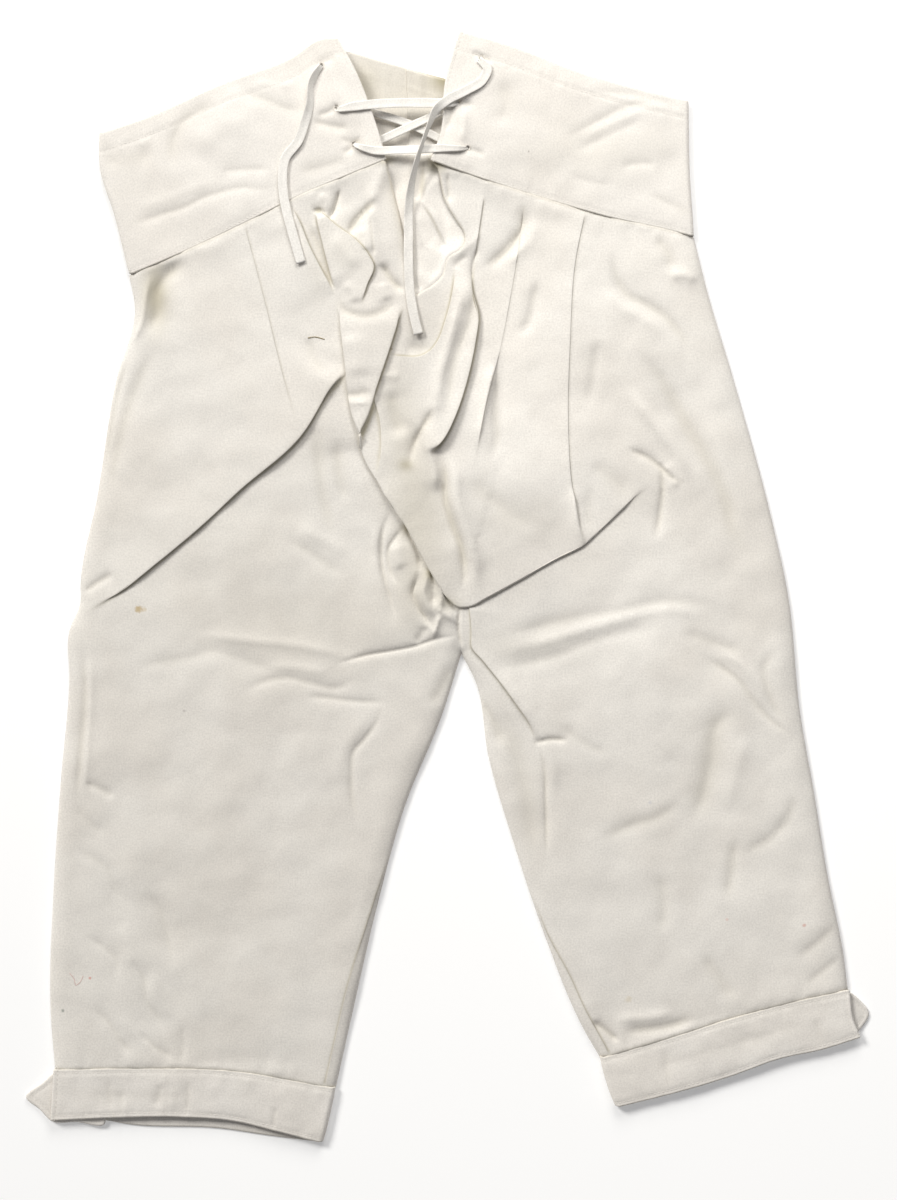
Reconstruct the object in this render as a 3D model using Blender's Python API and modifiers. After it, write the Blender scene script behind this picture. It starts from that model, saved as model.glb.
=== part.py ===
"""Knee breeches laid out flat on their front, back side up, piece by piece as they are sewn.

Lengths are millimetres until a mesh is made, which is in metres. +X is to the right as the
breeches lie, +Y is towards the waist and +Z is up. The front of the garment rests on z = 0.
Left and right are the wearer's: the back is up, so they are also left and right as it lies.
"""

import math
from collections import namedtuple

import bpy
import numpy as np
from mathutils.geometry import delaunay_2d_cdt

MM = 0.001

# Walls and clearances
CLOTH = 1.0  # leg panels and gusset
DOUBLED = 2.0  # waistband and knee bands, two layers of cloth
TAB_CLOTH = 1.4
SEAM = 0.7  # gap in plan between pieces sewn edge to edge
LAYER_GAP = 0.3  # gap between pieces that lie on each other

# Heights of the outer, upper face of the back
EDGE_HEIGHT = 2.5  # at a side seam
REST_HEIGHT = 6.0  # where the cloth lies smooth
ROLL = 13.0  # how far in from a side seam the cloth rolls down
WAIST_FOLD = 3.0  # radius of the waistband's fold at the side
WAIST_LIFT = 5.5  # further height that the waistband gains towards centre back
KNEE_FOLD = 3.2  # radius of a knee band's fold at the inner side
HALF_WAIST = 195.0  # each half of the waistband, from its side to its point
KNEE_WIDTH = 198.0  # each knee band as it lies
SEAM_REACH = 22.0  # how far a panel takes to leave the height of the band it is sewn to

# Mesh spacing
PLAIN_SPACING = 23.0
SEAT_SPACING = 17.0
SEAT_FROM_Y = -70.0
OUTLINE_SPACING = 12.0
CENTRE_SPACING = 6.0  # along the centre back seam, which crosses the folds
LINE_SPACING = 8.0  # along a seam that only distances are measured from
TAPE_SPACING = 7.15
EDGE_ROWS = (2.5, 8.0)  # rows of points in from an outline
FOLD_SPACING = 9.5
FOLD_ROWS = (-1.7, -0.95, -0.45, 0.0, 0.45, 0.95, 1.7)  # in widths from the middle of the bend
SOFT_SPACING = 12.0
SOFT_ROWS = (0.0, -1.1, 1.1)  # in widths from the fold's path
CLOSE_APART = 2.4  # the least distance between points of the edges and the folds
GRID_APART = 9.0  # and from them to the points of the grid
WAIST_COLUMNS, WAIST_ROWS = 16, 7
KNEE_COLUMNS, KNEE_ROWS = 12, 5
FOLD_ANGLES = (45, 90, 135)  # round a band's fold at the side

# Edges of the pieces in plan, each a smooth curve through its points
OUTSEAM_LEFT = (
    (-225, 219), (-221, 197), (-234, 146), (-247, 66), (-259, 2), (-259, -9),
    (-267, -30), (-267, -64), (-273, -136), (-278, -211), (-280, -300), (-277, -337),
)
INSEAM_LEFT = ((8, -46), (-6, -90), (-31, -151), (-50, -219), (-70, -305), (-80, -350))
OUTSEAM_RIGHT = (
    (171, 246), (180, 210), (199, 146), (225, 51), (237, -4), (246, -90),
    (255, -141), (265, -202), (276, -257), (279, -281),
)
INSEAM_RIGHT = (
    (8, -46), (18, -66), (27, -118), (46, -183), (69, -251), (94, -310), (105, -329),
)
WAIST_SEAM_LEFT = ((-225, 219), (-196, 231), (-144, 255), (-112, 271), (-45, 299))
WAIST_SEAM_RIGHT = ((-13, 298), (19, 287), (73, 270), (113, 259), (146, 252), (171, 246))
KNEE_SEAM_LEFT = ((-277, -337), (-223, -336), (-150, -338), (-91, -348), (-80, -350))
KNEE_SEAM_RIGHT = ((105, -329), (156, -314), (197, -301), (238, -290), (279, -281))
VENT_LEFT = ((-45, 299), (-38, 272), (-31, 242), (-26, 215), (-24, 205))
VENT_RIGHT = (
    (-9, 295), (-2, 267), (4, 257), (10, 246), (8, 238), (-2, 231), (-6, 218), (-24, 205),
)
CENTRE_BACK = (
    (-24, 205), (-22, 180), (-20, 152), (-20, 127), (-21, 105), (-13, 78), (-4, 52), (4, 25),
    (8, -5), (8, -46),
)
CENTRE_FRONT = ((-10, 264), (0, 100), (8, -46))
FRONT_WAIST_LEFT = ((-225, 219), (-130, 246), (-60, 260), (-10, 264))
FRONT_WAIST_RIGHT = ((-10, 264), (60, 261), (171, 246))
FRONT_SEAM_LEFT = ((-225, 219), (-130, 247), (-60, 263), (9, 268))
FRONT_SEAM_RIGHT = ((171, 246), (60, 264), (-10, 268), (-28, 268))
FRONT_TOP_LEFT = ((-246, 318), (-150, 350), (-74, 377), (-49, 370), (9, 354))
FRONT_TOP_RIGHT = ((167, 341), (60, 350), (-14, 359), (-30, 364))
WAIST_TOP_LEFT = ((-246, 318), (-216, 328), (-156, 354), (-112, 370), (-88, 384), (-79, 384))
WAIST_TOP_RIGHT = ((7, 389), (43, 379), (86, 363), (120, 353), (167, 342))
WAIST_SIDE_LEFT = ((-225, 219), (-235, 260), (-245, 292), (-246, 318))
WAIST_SIDE_RIGHT = ((171, 246), (168, 281), (167, 304), (167, 341))
WAIST_POINT_LEFT = ((-45, 299), (-52, 323), (-69, 366), (-79, 384))
WAIST_POINT_RIGHT = ((-13, 298), (-6, 318), (-3, 352), (7, 389))
FRONT_END_LEFT = ((9, 268), (9, 354))  # hidden under the right half's end
FRONT_END_RIGHT = ((-28, 268), (-30, 364))  # shows in the slit
FRONT_LAP_X = 22.0  # where the right half's front starts to climb over the left's
FRONT_LAP_RISE = 2.3
HEM_LEFT = (
    (-279, -373), (-241, -371), (-191, -370), (-150, -373), (-124, -379), (-89, -388),
)
HEM_FRONT_LEFT = (
    (-277, -370), (-241, -371), (-225, -374), (-161, -378), (-124, -384), (-89, -389),
)
HEM_RIGHT = ((116, -364), (160, -353), (197, -342), (230, -330), (258, -324), (287, -315))
KNEE_OUTER_LEFT = ((-277, -337), (-279, -373))
KNEE_INNER_LEFT = ((-80, -350), (-84, -367), (-89, -389))
KNEE_OUTER_RIGHT = ((279, -281), (282, -303), (287, -315))
KNEE_INNER_RIGHT = ((105, -329), (111, -349), (116, -364))
TAB_LEFT = (
    (-244, -343), (-277, -338.5), (-286, -347), (-293, -357), (-280, -374.5), (-242, -376),
    (-242, -372),
)
TAB_RIGHT = ((252, -291), (279, -283), (287, -289), (293.5, -298), (287, -310), (256, -319))
GUSSET_SIDES = (
    (-60, 304), (-50, 250), (-38, 215), (-24, 195), (-10, 215), (14, 250), (12, 304),
)
GUSSET_TOP = ((12, 304), (-60, 304))
GUSSET_HEIGHT = 5.7

# Overlapping folds: the cloth on the left of the path, walking along it, lies over the rest.
# width is the reach of the bend, lap how far it doubles back, rise its height, and the upper
# cloth sinks back over roll. fade_in and fade_out are the lengths over which its ends die out.
Lap = namedtuple("Lap", "name path width lap rise roll fade_in fade_out")
LAPS = (
    Lap("seat", (
        (-81, 208), (-77, 183), (-72, 150), (-71, 128), (-63, 97), (-48, 73), (-34, 48), (-18, 19),
        (-6, 0), (3, -11), (12, -13), (26, -6), (50, 6), (91, 28), (125, 59), (145, 76),
    ), 9.5, 1.4, 9.0, 34, 34, 40),
    Lap("seat band", (
        (-57, 98), (-56, 112), (-51, 137), (-42, 166), (-33, 196),
    ), 8.0, 1.25, 6.0, 22, 36, 22),
    Lap("left thigh", (
        (-258, -19), (-232, -4), (-204, 18), (-175, 42), (-147, 68), (-104, 106), (-82, 142),
        (-74, 154),
    ), 8.0, 1.35, 6.0, 26, 60, 22),
    Lap("right seat", (
        (-15, 92), (-1, 113), (8, 132), (14, 160), (20, 184), (19, 200), (14, 220),
    ), 8.0, 1.35, 6.5, 20, 16, 30),
    Lap("slit flap", (
        (-59, 200), (-55, 214), (-55, 228), (-70, 246), (-92, 264),
    ), 6.0, 0.9, 3.2, 12, 14, 8),
    Lap("seat pocket", (
        (-42, 163), (-20, 160), (-10, 166), (-5, 178), (0, 209),
    ), 6.0, 0.7, -3.6, 13, 12, 16),
)

# Soft folds: a ridge where height is above 0, a trough where it is below. Each swells from
# nothing over SWELL_SHARE of its length at both ends.
SWELL_SHARE = 0.35
Soft = namedtuple("Soft", "name path width height")
SOFT_FOLDS = (
    Soft("left gather", ((-112, 268), (-99, 238), (-80, 203)), 6, -3.0),
    Soft("left gather edge", ((-97, 262), (-88, 238), (-78, 209)), 4, 2.0),
    Soft("slit valley", ((-50, 276), (-61, 259), (-70, 244)), 6, -3.0),
    Soft("slit edge ridge", ((-44, 294), (-49, 268), (-52, 250)), 7, 2.5),
    Soft("band valley", ((-76, 199), (-58, 190), (-36, 200)), 9, -2.2),
    Soft("pocket ridge", ((-3, 205), (-6, 165), (-8, 130), (-18, 104)), 9, 4.5),
    Soft("bag hollow", ((-34, 130), (-32, 102), (-30, 80)), 11, -3.5),
    Soft("bag ridge", ((-2, 88), (2, 52), (11, 8)), 10, 3.5),
    Soft("bag valley", ((-14, 82), (-10, 45), (0, 10)), 9, -2.0),
    Soft("right pleat ridge", ((44, 206), (33, 155), (16, 82)), 8, 2.5),
    Soft("right pleat", ((92, 262), (84, 171), (83, 106), (90, 34)), 6, 2.0),
    Soft("right pleat trough", ((97, 230), (91, 165), (90, 110)), 8, -1.6),
    Soft("left pleat", ((-144, 250), (-124, 176), (-105, 110)), 5, 1.2),
    Soft("seat corner", ((146, 70), (147, 48), (144, 26)), 6, -2.0),
    Soft("seat corner ridge", ((128, 135), (150, 105), (163, 76)), 11, 3.0),
    Soft("crotch fold", ((-45, 52), (-48, 15), (-38, -22)), 6, -3.0),
    Soft("crotch fold ridge", ((-36, 40), (-40, 12), (-30, -18)), 7, 3.0),
    Soft("crotch crease", ((-33, 41), (-25, 10), (-12, -27)), 5, -3.5),
    Soft("crotch ridge", ((-20, 8), (-10, -14), (4, -26)), 6, 3.0),
    Soft("left crotch crease", ((-67, -52), (-34, -44), (-2, -32)), 6, -2.5),
    Soft("left thigh crease", ((-222, -50), (-150, -39), (-76, -46)), 12, -1.8),
    Soft("left thigh ridge", ((-150, -62), (-110, -66), (-70, -64)), 14, 2.0),
    Soft("left inner crease", ((-48, -86), (-64, -108), (-69, -148)), 12, -1.8),
    Soft("left knee wrinkle", ((-266, -182), (-234, -208), (-198, -240)), 14, -1.8),
    Soft("left outer pleat", ((-188, 228), (-212, 200), (-236, 140)), 10, 2.2),
    Soft("right thigh ridge", ((30, -50), (70, -40), (118, -24), (190, -16)), 12, 3.2),
    Soft("right thigh trough", ((60, -26), (112, -12), (160, -6)), 11, -2.2),
    Soft("right outer crease", ((165, -48), (204, -68), (244, -108)), 9, -2.6),
    Soft("right outer ridge", ((160, -40), (206, -52), (240, -84)), 11, 2.6),
    Soft("right inner crease", (
        (15, -16), (18, -44), (52, -92), (68, -130), (68, -186),
    ), 9, -2.4),
    Soft("right calf trough", ((200, -78), (182, -120), (168, -170)), 18, -2.0),
    Soft("right knee trough", ((108, -306), (140, -312), (168, -304)), 13, -2.2),
    Soft("upper right ridge", ((120, 198), (158, 142), (174, 106)), 16, 2.4),
)

GUSSET_FOLDS = (
    Soft("gusset ridge", ((-33, 302), (-28, 255), (-25, 205)), 6, 2.6),
    Soft("gusset crease", ((-25, 276), (-14, 258), (-3, 238)), 5, -1.2),
    Soft("gusset facet", ((-9, 292), (-12, 256), (-17, 222)), 6, 1.6),
)

# Broad swellings where the full seat heaps up
Puff = namedtuple("Puff", "name x y reach_x reach_y height")
PUFFS = (
    Puff("centre back", -50, 235, 46, 60, 4.5),
    Puff("right seat", 70, 185, 90, 80, 3.5),
    Puff("seat bag", 30, 55, 62, 60, 5.0),
    Puff("slit lip", 6, 262, 20, 40, 2.0),
    Puff("crotch", -12, -2, 34, 36, 2.5),
    Puff("left seat", -150, 120, 70, 90, 2.0),
    Puff("left thigh", -150, -70, 80, 90, 1.5),
    Puff("right thigh", 140, -80, 70, 80, 1.5),
)

# The lace, a flat tape. Each point of a route is x, y, z, and its turn in degrees from flat.
TAPE_WIDTH = 6.5
TAPE_EDGE = 0.5  # half the tape's thickness, and the radius of its selvedges
LACE_ROUTES = {
    "lace_bar_upper": (
        (-77, 334, 11.4, 0), (-59, 337, 12.2, 0), (-36, 338.5, 11.8, 0), (-11, 338.5, 12.1, 0),
        (4, 338.5, 11.9, 0),
    ),
    "lace_bar_lower": (
        (-66, 308, 12.0, 0), (-55, 305.5, 12.8, 0), (-36, 305.5, 12.4, 0), (-6, 306.5, 12.8, 0),
        (11, 307, 12.8, 0),
    ),
    "lace_end_left": (
        (-90, 365, 10.9, 15), (-97, 352, 12.3, 45), (-98, 337, 11.8, 35), (-101, 326, 10.9, 12),
        (-106, 312, 10.3, 0), (-115, 300, 10.1, 0), (-117, 286, 10.0, 0), (-116, 273, 9.8, 0),
        (-112, 255, 9.2, 0), (-108, 241, 8.8, 0), (-104, 227, 8.8, 0),
    ),
    "lace_end_right": (
        (20, 369, 11.1, 0), (26, 363, 11.4, 0), (23, 355, 11.6, 0), (11, 347, 12.7, 0),
        (-2, 340, 14.4, 8), (-10, 333, 15.4, 35), (-15, 322, 16.8, 65), (-19, 311, 17.2, 72),
        (-23, 299, 16.0, 65), (-27, 282, 13.4, 45), (-29, 262, 11.2, 15), (-29, 246, 11.4, 5),
        (-29, 229, 11.7, 0), (-28, 208, 11.6, 0), (-26, 194, 12.0, 0), (-22, 177, 11.7, 0),
    ),
    "lace_cross_one": ((-58, 309, 6.6, 0), (-34, 320, 7.4, 0), (-4, 334, 7.2, 0)),
    "lace_cross_two": ((-60, 335, 5.4, 0), (-29, 325, 5.6, 0), (-2, 312, 5.6, 0)),
}

BACK_COLOUR = (0.80, 0.76, 0.71)
FRONT_COLOUR = (0.72, 0.68, 0.63)
BAND_COLOUR = (0.82, 0.78, 0.73)
TAPE_COLOUR = (0.86, 0.84, 0.80)
ROUGHNESS = 0.9


def smooth(points, spacing):
    """A curve through the points, as points about this far apart."""
    points = np.array(points, float)
    lengths = np.linalg.norm(np.diff(points, axis=0), axis=1)
    along = np.concatenate([[0.0], np.cumsum(lengths)])
    slopes = np.gradient(points, along, axis=0)
    count = max(2, round(along[-1] / spacing) + 1)
    wanted = np.linspace(0, along[-1], count)
    span = np.clip(np.searchsorted(along, wanted, side="right") - 1, 0, len(points) - 2)
    size = (along[span + 1] - along[span])[:, None]
    part = (wanted - along[span])[:, None] / size
    start = (1 + 2 * part) * (1 - part) ** 2 * points[span]
    end = part**2 * (3 - 2 * part) * points[span + 1]
    leaving = part * (1 - part) ** 2 * size * slopes[span]
    arriving = part**2 * (part - 1) * size * slopes[span + 1]
    return start + leaving + end + arriving


def ease(value):
    value = np.clip(value, 0, 1)
    return value * value * (3 - 2 * value)


class Line:
    """A path in plan, with the signed distance, place along it and side direction of any point."""

    def __init__(self, path, spacing=3.0):
        self.points = smooth(path, spacing)
        step = np.diff(self.points, axis=0)
        size = np.linalg.norm(step, axis=1)
        self.along = np.concatenate([[0.0], np.cumsum(size)])
        self.length = self.along[-1]
        tangents = np.gradient(self.points, self.along, axis=0)
        tangents /= np.linalg.norm(tangents, axis=1)[:, None]
        self.sides = np.stack([-tangents[:, 1], tangents[:, 0]], axis=1)

    def measure(self, places):
        best = np.full(len(places), np.inf)
        along = np.zeros(len(places))
        signed = np.zeros(len(places))
        side = np.zeros((len(places), 2))
        for i in range(len(self.points) - 1):
            start, end = self.points[i], self.points[i + 1]
            step = end - start
            part = np.clip((places - start) @ step / (step @ step), 0, 1)
            away = places - start - part[:, None] * step
            distance = np.linalg.norm(away, axis=1)
            normal = self.sides[i] * (1 - part[:, None]) + self.sides[i + 1] * part[:, None]
            nearer = distance < best
            best[nearer] = distance[nearer]
            along[nearer] = (self.along[i] + part * (self.along[i + 1] - self.along[i]))[nearer]
            signed[nearer] = (distance * np.where((away * normal).sum(axis=1) < 0, -1, 1))[nearer]
            side[nearer] = normal[nearer]
        return signed, along, side


def lap_edge(lap):
    """How far the doubled-back cloth reaches past the middle of its bend, in widths."""
    part = np.linspace(0, 1, 101)
    return max(0.0, -(part - lap * part * np.exp(-(part**2))).min())


def side_distance(places):
    """How far in from the nearest side seam each place is."""
    sides = (OUTSEAM_LEFT, INSEAM_LEFT, OUTSEAM_RIGHT, INSEAM_RIGHT)
    return np.min([np.abs(Line(path, LINE_SPACING).measure(places)[0]) for path in sides], axis=0)


def waist_height(x):
    """Height of the waistband's outer face at its seam."""
    left_side, left_point = WAIST_SEAM_LEFT[0][0], WAIST_SEAM_LEFT[-1][0]
    right_point, right_side = WAIST_SEAM_RIGHT[0][0], WAIST_SEAM_RIGHT[-1][0]
    left = (x - left_side) / (left_point - left_side)
    right = (right_side - x) / (right_side - right_point)
    part = np.clip(np.minimum(left, right), 0, 1)
    return 2 * WAIST_FOLD + WAIST_LIFT * part**1.5


def soft_height(fold, places):
    """What a ridge or trough adds at each place. It swells from nothing at both its ends."""
    line = Line(fold.path)
    signed, along, _ = line.measure(places)
    end = SWELL_SHARE * line.length
    swell = ease(along / end) * ease((line.length - along) / end)
    return fold.height * swell * np.exp(-((signed / fold.width) ** 2))


def drape(places):
    """Where the outer face of the back lies, for each place in plan."""
    places = np.array(places, float)
    inset = side_distance(places)
    shift = np.zeros_like(places)
    round_off = np.sqrt(1 - (1 - np.clip(inset / ROLL, 0, 1)) ** 2)
    height = np.full(len(places), REST_HEIGHT)
    for puff in PUFFS:
        across = (places[:, 0] - puff.x) / puff.reach_x
        up = (places[:, 1] - puff.y) / puff.reach_y
        height += puff.height * np.exp(-(across**2) - up**2)
    for fold in SOFT_FOLDS:
        height += soft_height(fold, places)
    for lap in LAPS:
        line = Line(lap.path)
        signed, along, side = line.measure(places)
        alive = ease(along / lap.fade_in) * ease((line.length - along) / lap.fade_out)
        turn = signed - lap_edge(lap.lap) * lap.width
        back = lap.lap * alive * turn * np.exp(-((turn / lap.width) ** 2))
        shift -= side * back[:, None]
        step = 0.5 + 0.5 * np.tanh(turn / (0.45 * lap.width))
        height += lap.rise * alive * step * np.exp(-np.maximum(turn, 0) / lap.roll)
    for seam, seam_height in (
        (WAIST_SEAM_LEFT, waist_height(places[:, 0])),
        (WAIST_SEAM_RIGHT, waist_height(places[:, 0])),
        (KNEE_SEAM_LEFT, np.full(len(places), 2 * KNEE_FOLD)),
        (KNEE_SEAM_RIGHT, np.full(len(places), 2 * KNEE_FOLD)),
    ):
        near = 1 - ease(np.abs(Line(seam, LINE_SPACING).measure(places)[0]) / SEAM_REACH)
        height += near * (seam_height - height)
        shift *= (1 - near)[:, None]
    height = EDGE_HEIGHT + (height - EDGE_HEIGHT) * round_off
    return np.column_stack([places + shift, height])


def inside(places, outline):
    """Which places lie inside a closed outline."""
    x, y = places[:, 0], places[:, 1]
    found = np.zeros(len(places), bool)
    for (x0, y0), (x1, y1) in zip(outline, np.roll(outline, -1, axis=0)):
        crosses = (y0 > y) != (y1 > y)
        with np.errstate(divide="ignore", invalid="ignore"):
            found ^= crosses & (x < (x1 - x0) * (y - y0) / (y1 - y0) + x0)
    return found


def outline_of(*paths):
    """A closed outline from edge curves that follow each other."""
    points = []
    for path in paths:
        spacing = CENTRE_SPACING if path in (CENTRE_BACK, CENTRE_BACK[::-1]) else OUTLINE_SPACING
        points.extend(smooth(path, spacing)[:-1])
    return np.array(points)


def drawn_in(outline, by):
    """The outline moved inwards by this much, whichever way round it runs."""
    ahead = np.roll(outline, -1, axis=0) - outline
    ahead /= np.linalg.norm(ahead, axis=1)[:, None]
    normal = np.stack([-ahead[:, 1], ahead[:, 0]], axis=1)
    normal = normal + np.roll(normal, 1, axis=0)
    normal /= np.maximum(np.linalg.norm(normal, axis=1), 0.6)[:, None]
    x, y = outline[:, 0], outline[:, 1]
    area = (x * np.roll(y, -1) - y * np.roll(x, -1)).sum()
    return outline + normal * by * (1 if area > 0 else -1)


def fold_points(laps, soft_folds):
    """Points along the folds, closest together across the sharp ones."""
    for lap in laps:
        line = Line(lap.path, FOLD_SPACING)
        middle = lap_edge(lap.lap) * lap.width
        for part in FOLD_ROWS:
            yield line.points + line.sides * (middle + part * lap.width)
    for fold in soft_folds:
        line = Line(fold.path, SOFT_SPACING)
        for part in SOFT_ROWS:
            yield line.points + line.sides * part * fold.width


def edge_points(outline):
    """Rows just inside the outline, where the cloth rolls down to its side seams."""
    for inset in EDGE_ROWS:
        yield drawn_in(outline, inset)


def grid_points(outline):
    low, high = outline.min(axis=0), outline.max(axis=0)
    y = low[1]
    row = 0
    while y < high[1]:
        spacing = SEAT_SPACING if y > SEAT_FROM_Y else PLAIN_SPACING
        x = np.arange(low[0] + (row % 2) * spacing / 2, high[0], spacing)
        yield np.column_stack([x, np.full(len(x), y)])
        y += spacing * math.sqrt(3) / 2
        row += 1


def kept_points(outline, laps, soft_folds):
    """The outline's points, then those of its edges, the folds and the grid that crowd none before them."""
    kept = list(outline)
    for sets, apart in (
        (edge_points(outline), CLOSE_APART),
        (fold_points(laps, soft_folds), CLOSE_APART),
        (grid_points(outline), GRID_APART),
    ):
        for points in sets:
            for point in points[inside(points, outline)]:
                if np.linalg.norm(np.array(kept) - point, axis=1).min() > apart:
                    kept.append(point)
    return np.array(kept)


def material(name, colour):
    made = bpy.data.materials.new(name)
    made.use_nodes = True
    shader = made.node_tree.nodes["Principled BSDF"]
    shader.inputs["Base Color"].default_value = (*colour, 1)
    shader.inputs["Roughness"].default_value = ROUGHNESS
    shader.inputs["Metallic"].default_value = 0
    return made


def add_object(name, data, colour):
    data.materials.append(material(name + "_cloth", colour))
    made = bpy.data.objects.new(name, data)
    collection.objects.link(made)
    return made


def add_wall(name, points, faces, thickness, colour):
    """An open surface of the outer face, made a wall on its inner side."""
    mesh = bpy.data.meshes.new(name)
    mesh.from_pydata([tuple(point) for point in np.array(points) * MM], [], faces)
    mesh.shade_smooth()
    made = add_object(name, mesh, colour)
    wall = made.modifiers.new("Wall", "SOLIDIFY")
    wall.thickness = thickness * MM
    wall.offset = -1
    return made


def add_draped(name, outline, surface, laps, soft_folds, colour):
    """A panel cut to an outline in plan and draped over what it lies on."""
    points = kept_points(outline, laps, soft_folds)
    rim = [(i, (i + 1) % len(outline)) for i in range(len(outline))]
    plan, _, faces, *_ = delaunay_2d_cdt([tuple(point) for point in points], rim, [], 1, 1e-4)
    plan = np.array([tuple(point) for point in plan])
    upward = []
    for a, b, c in faces:
        turn = np.cross(plan[b] - plan[a], plan[c] - plan[a])
        upward.append((a, b, c) if turn > 0 else (a, c, b))
    return add_wall(name, surface(plan), upward, CLOTH, colour)


def add_flat(name, outline, thickness, bottom, colour):
    """A flat piece: its outline, filled and extruded."""
    data = bpy.data.curves.new(name, "CURVE")
    data.dimensions = "2D"
    data.fill_mode = "BOTH"
    data.extrude = thickness / 2 * MM
    spline = data.splines.new("POLY")
    spline.points.add(len(outline) - 1)
    for slot, (x, y) in zip(spline.points, outline):
        slot.co = (x * MM, y * MM, 0, 1)
    spline.use_cyclic_u = True
    made = add_object(name, data, colour)
    made.location.z = (bottom + thickness / 2) * MM
    return made


def along_path(path, parts):
    """Points at these parts of the length of the smooth curve through a path."""
    curve = smooth(path, 1.0)
    along = np.concatenate([[0.0], np.cumsum(np.linalg.norm(np.diff(curve, axis=0), axis=1))])
    wanted = np.array(parts) * along[-1]
    return np.column_stack([np.interp(wanted, along, curve[:, axis]) for axis in (0, 1)])


def patch(low, top, start, end, columns, rows, first):
    """Rows of points that fill four edge curves, from part first of the way along to the end."""
    parts_u, parts_v = np.linspace(first, 1, columns), np.linspace(0, 1, rows)
    u, v = parts_u[:, None, None], parts_v[None, :, None]
    across = (1 - v) * along_path(low, parts_u)[:, None] + v * along_path(top, parts_u)[:, None]
    along = (1 - u) * along_path(start, parts_v)[None] + u * along_path(end, parts_v)[None]
    (low_start, low_end), (top_start, top_end) = along_path(low, (0, 1)), along_path(top, (0, 1))
    corners_start, corners_end = (1 - v) * low_start + v * top_start, (1 - v) * low_end + v * top_end
    return across + along - (1 - u) * corners_start - u * corners_end


def add_strip(name, under, over, under_height, over_height, radius, outward, colour):
    """One strip of doubled cloth folded round a side, from the patch below to the one above.

    Both patches start at the folded side. The heights are of the strip's outer face.
    """
    columns = [np.column_stack([column, under_height(column)]) for column in under[::-1]]
    for angle in np.radians(FOLD_ANGLES):
        column = over[0] + np.array([outward * radius * math.sin(angle), 0])
        columns.append(np.column_stack([column, np.full(len(column), radius * (1 - math.cos(angle)))]))
    columns += [np.column_stack([column, over_height(column)]) for column in over]
    count, rows = len(columns), len(columns[0])
    faces = []
    for i in range(count - 1):
        for j in range(rows - 1):
            a, b = i * rows + j, i * rows + j + 1
            quad = (a, a + rows, b + rows, b)
            faces.append(quad if outward < 0 else quad[::-1])
    return add_wall(name, np.concatenate(columns), faces, DOUBLED, colour)


def add_tape(name, route, colour):
    """A flat tape that follows a smooth curve through its route."""
    data = bpy.data.curves.new(name, "CURVE")
    data.dimensions = "3D"
    data.twist_mode = "Z_UP"
    data.extrude = (TAPE_WIDTH / 2 - TAPE_EDGE) * MM
    data.bevel_depth = TAPE_EDGE * MM
    data.bevel_resolution = 0
    data.use_fill_caps = True
    curve = smooth(route, TAPE_SPACING)
    spline = data.splines.new("POLY")
    spline.points.add(len(curve) - 1)
    for slot, (x, y, z, turn) in zip(spline.points, curve):
        slot.co = (x * MM, y * MM, z * MM, 1)
        slot.tilt = math.radians(90 + turn)
    return add_object(name, data, colour)


def make_back_legs():
    left = outline_of(
        WAIST_SEAM_LEFT, VENT_LEFT, CENTRE_BACK, INSEAM_LEFT, KNEE_SEAM_LEFT[::-1],
        OUTSEAM_LEFT[::-1],
    )
    right = outline_of(
        WAIST_SEAM_RIGHT, OUTSEAM_RIGHT, KNEE_SEAM_RIGHT[::-1], INSEAM_RIGHT[::-1],
        CENTRE_BACK[::-1], VENT_RIGHT[::-1],
    )
    for name, outline in (("back_leg_left", left), ("back_leg_right", right)):
        add_draped(name, drawn_in(outline, SEAM / 2), drape, LAPS, SOFT_FOLDS, BACK_COLOUR)


def gusset_surface(places):
    """The gusset lies on the front of the garment, in soft folds that run down the slit."""
    height = np.full(len(places), GUSSET_HEIGHT)
    for fold in GUSSET_FOLDS:
        height += soft_height(fold, places)
    return np.column_stack([places, height])


def make_gusset():
    outline = outline_of(GUSSET_SIDES, GUSSET_TOP)
    add_draped("back_gusset", outline, gusset_surface, (), GUSSET_FOLDS, BACK_COLOUR)


def make_front_legs():
    left = outline_of(
        FRONT_WAIST_LEFT, CENTRE_FRONT, INSEAM_LEFT, KNEE_SEAM_LEFT[::-1], OUTSEAM_LEFT[::-1]
    )
    right = outline_of(
        FRONT_WAIST_RIGHT, OUTSEAM_RIGHT, KNEE_SEAM_RIGHT[::-1], INSEAM_RIGHT[::-1],
        CENTRE_FRONT[::-1],
    )
    for name, outline in (("front_leg_left", left), ("front_leg_right", right)):
        add_flat(name, drawn_in(outline, SEAM / 2), CLOTH, 0, FRONT_COLOUR)


def front_run_height(column):
    """The right half's front climbs over the end of the left half's, just before it reaches it."""
    climb = FRONT_LAP_X - FRONT_END_LEFT[0][0] - CLOTH
    return FRONT_LAP_RISE * ease((FRONT_LAP_X - column[:, 0]) / climb)


def flat_height(column):
    """A band's lower run lies on the surface under the garment."""
    return np.zeros(len(column))


def waist_run_height(column):
    return waist_height(column[:, 0])


def knee_run_height(column):
    return np.full(len(column), 2 * KNEE_FOLD)


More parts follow.
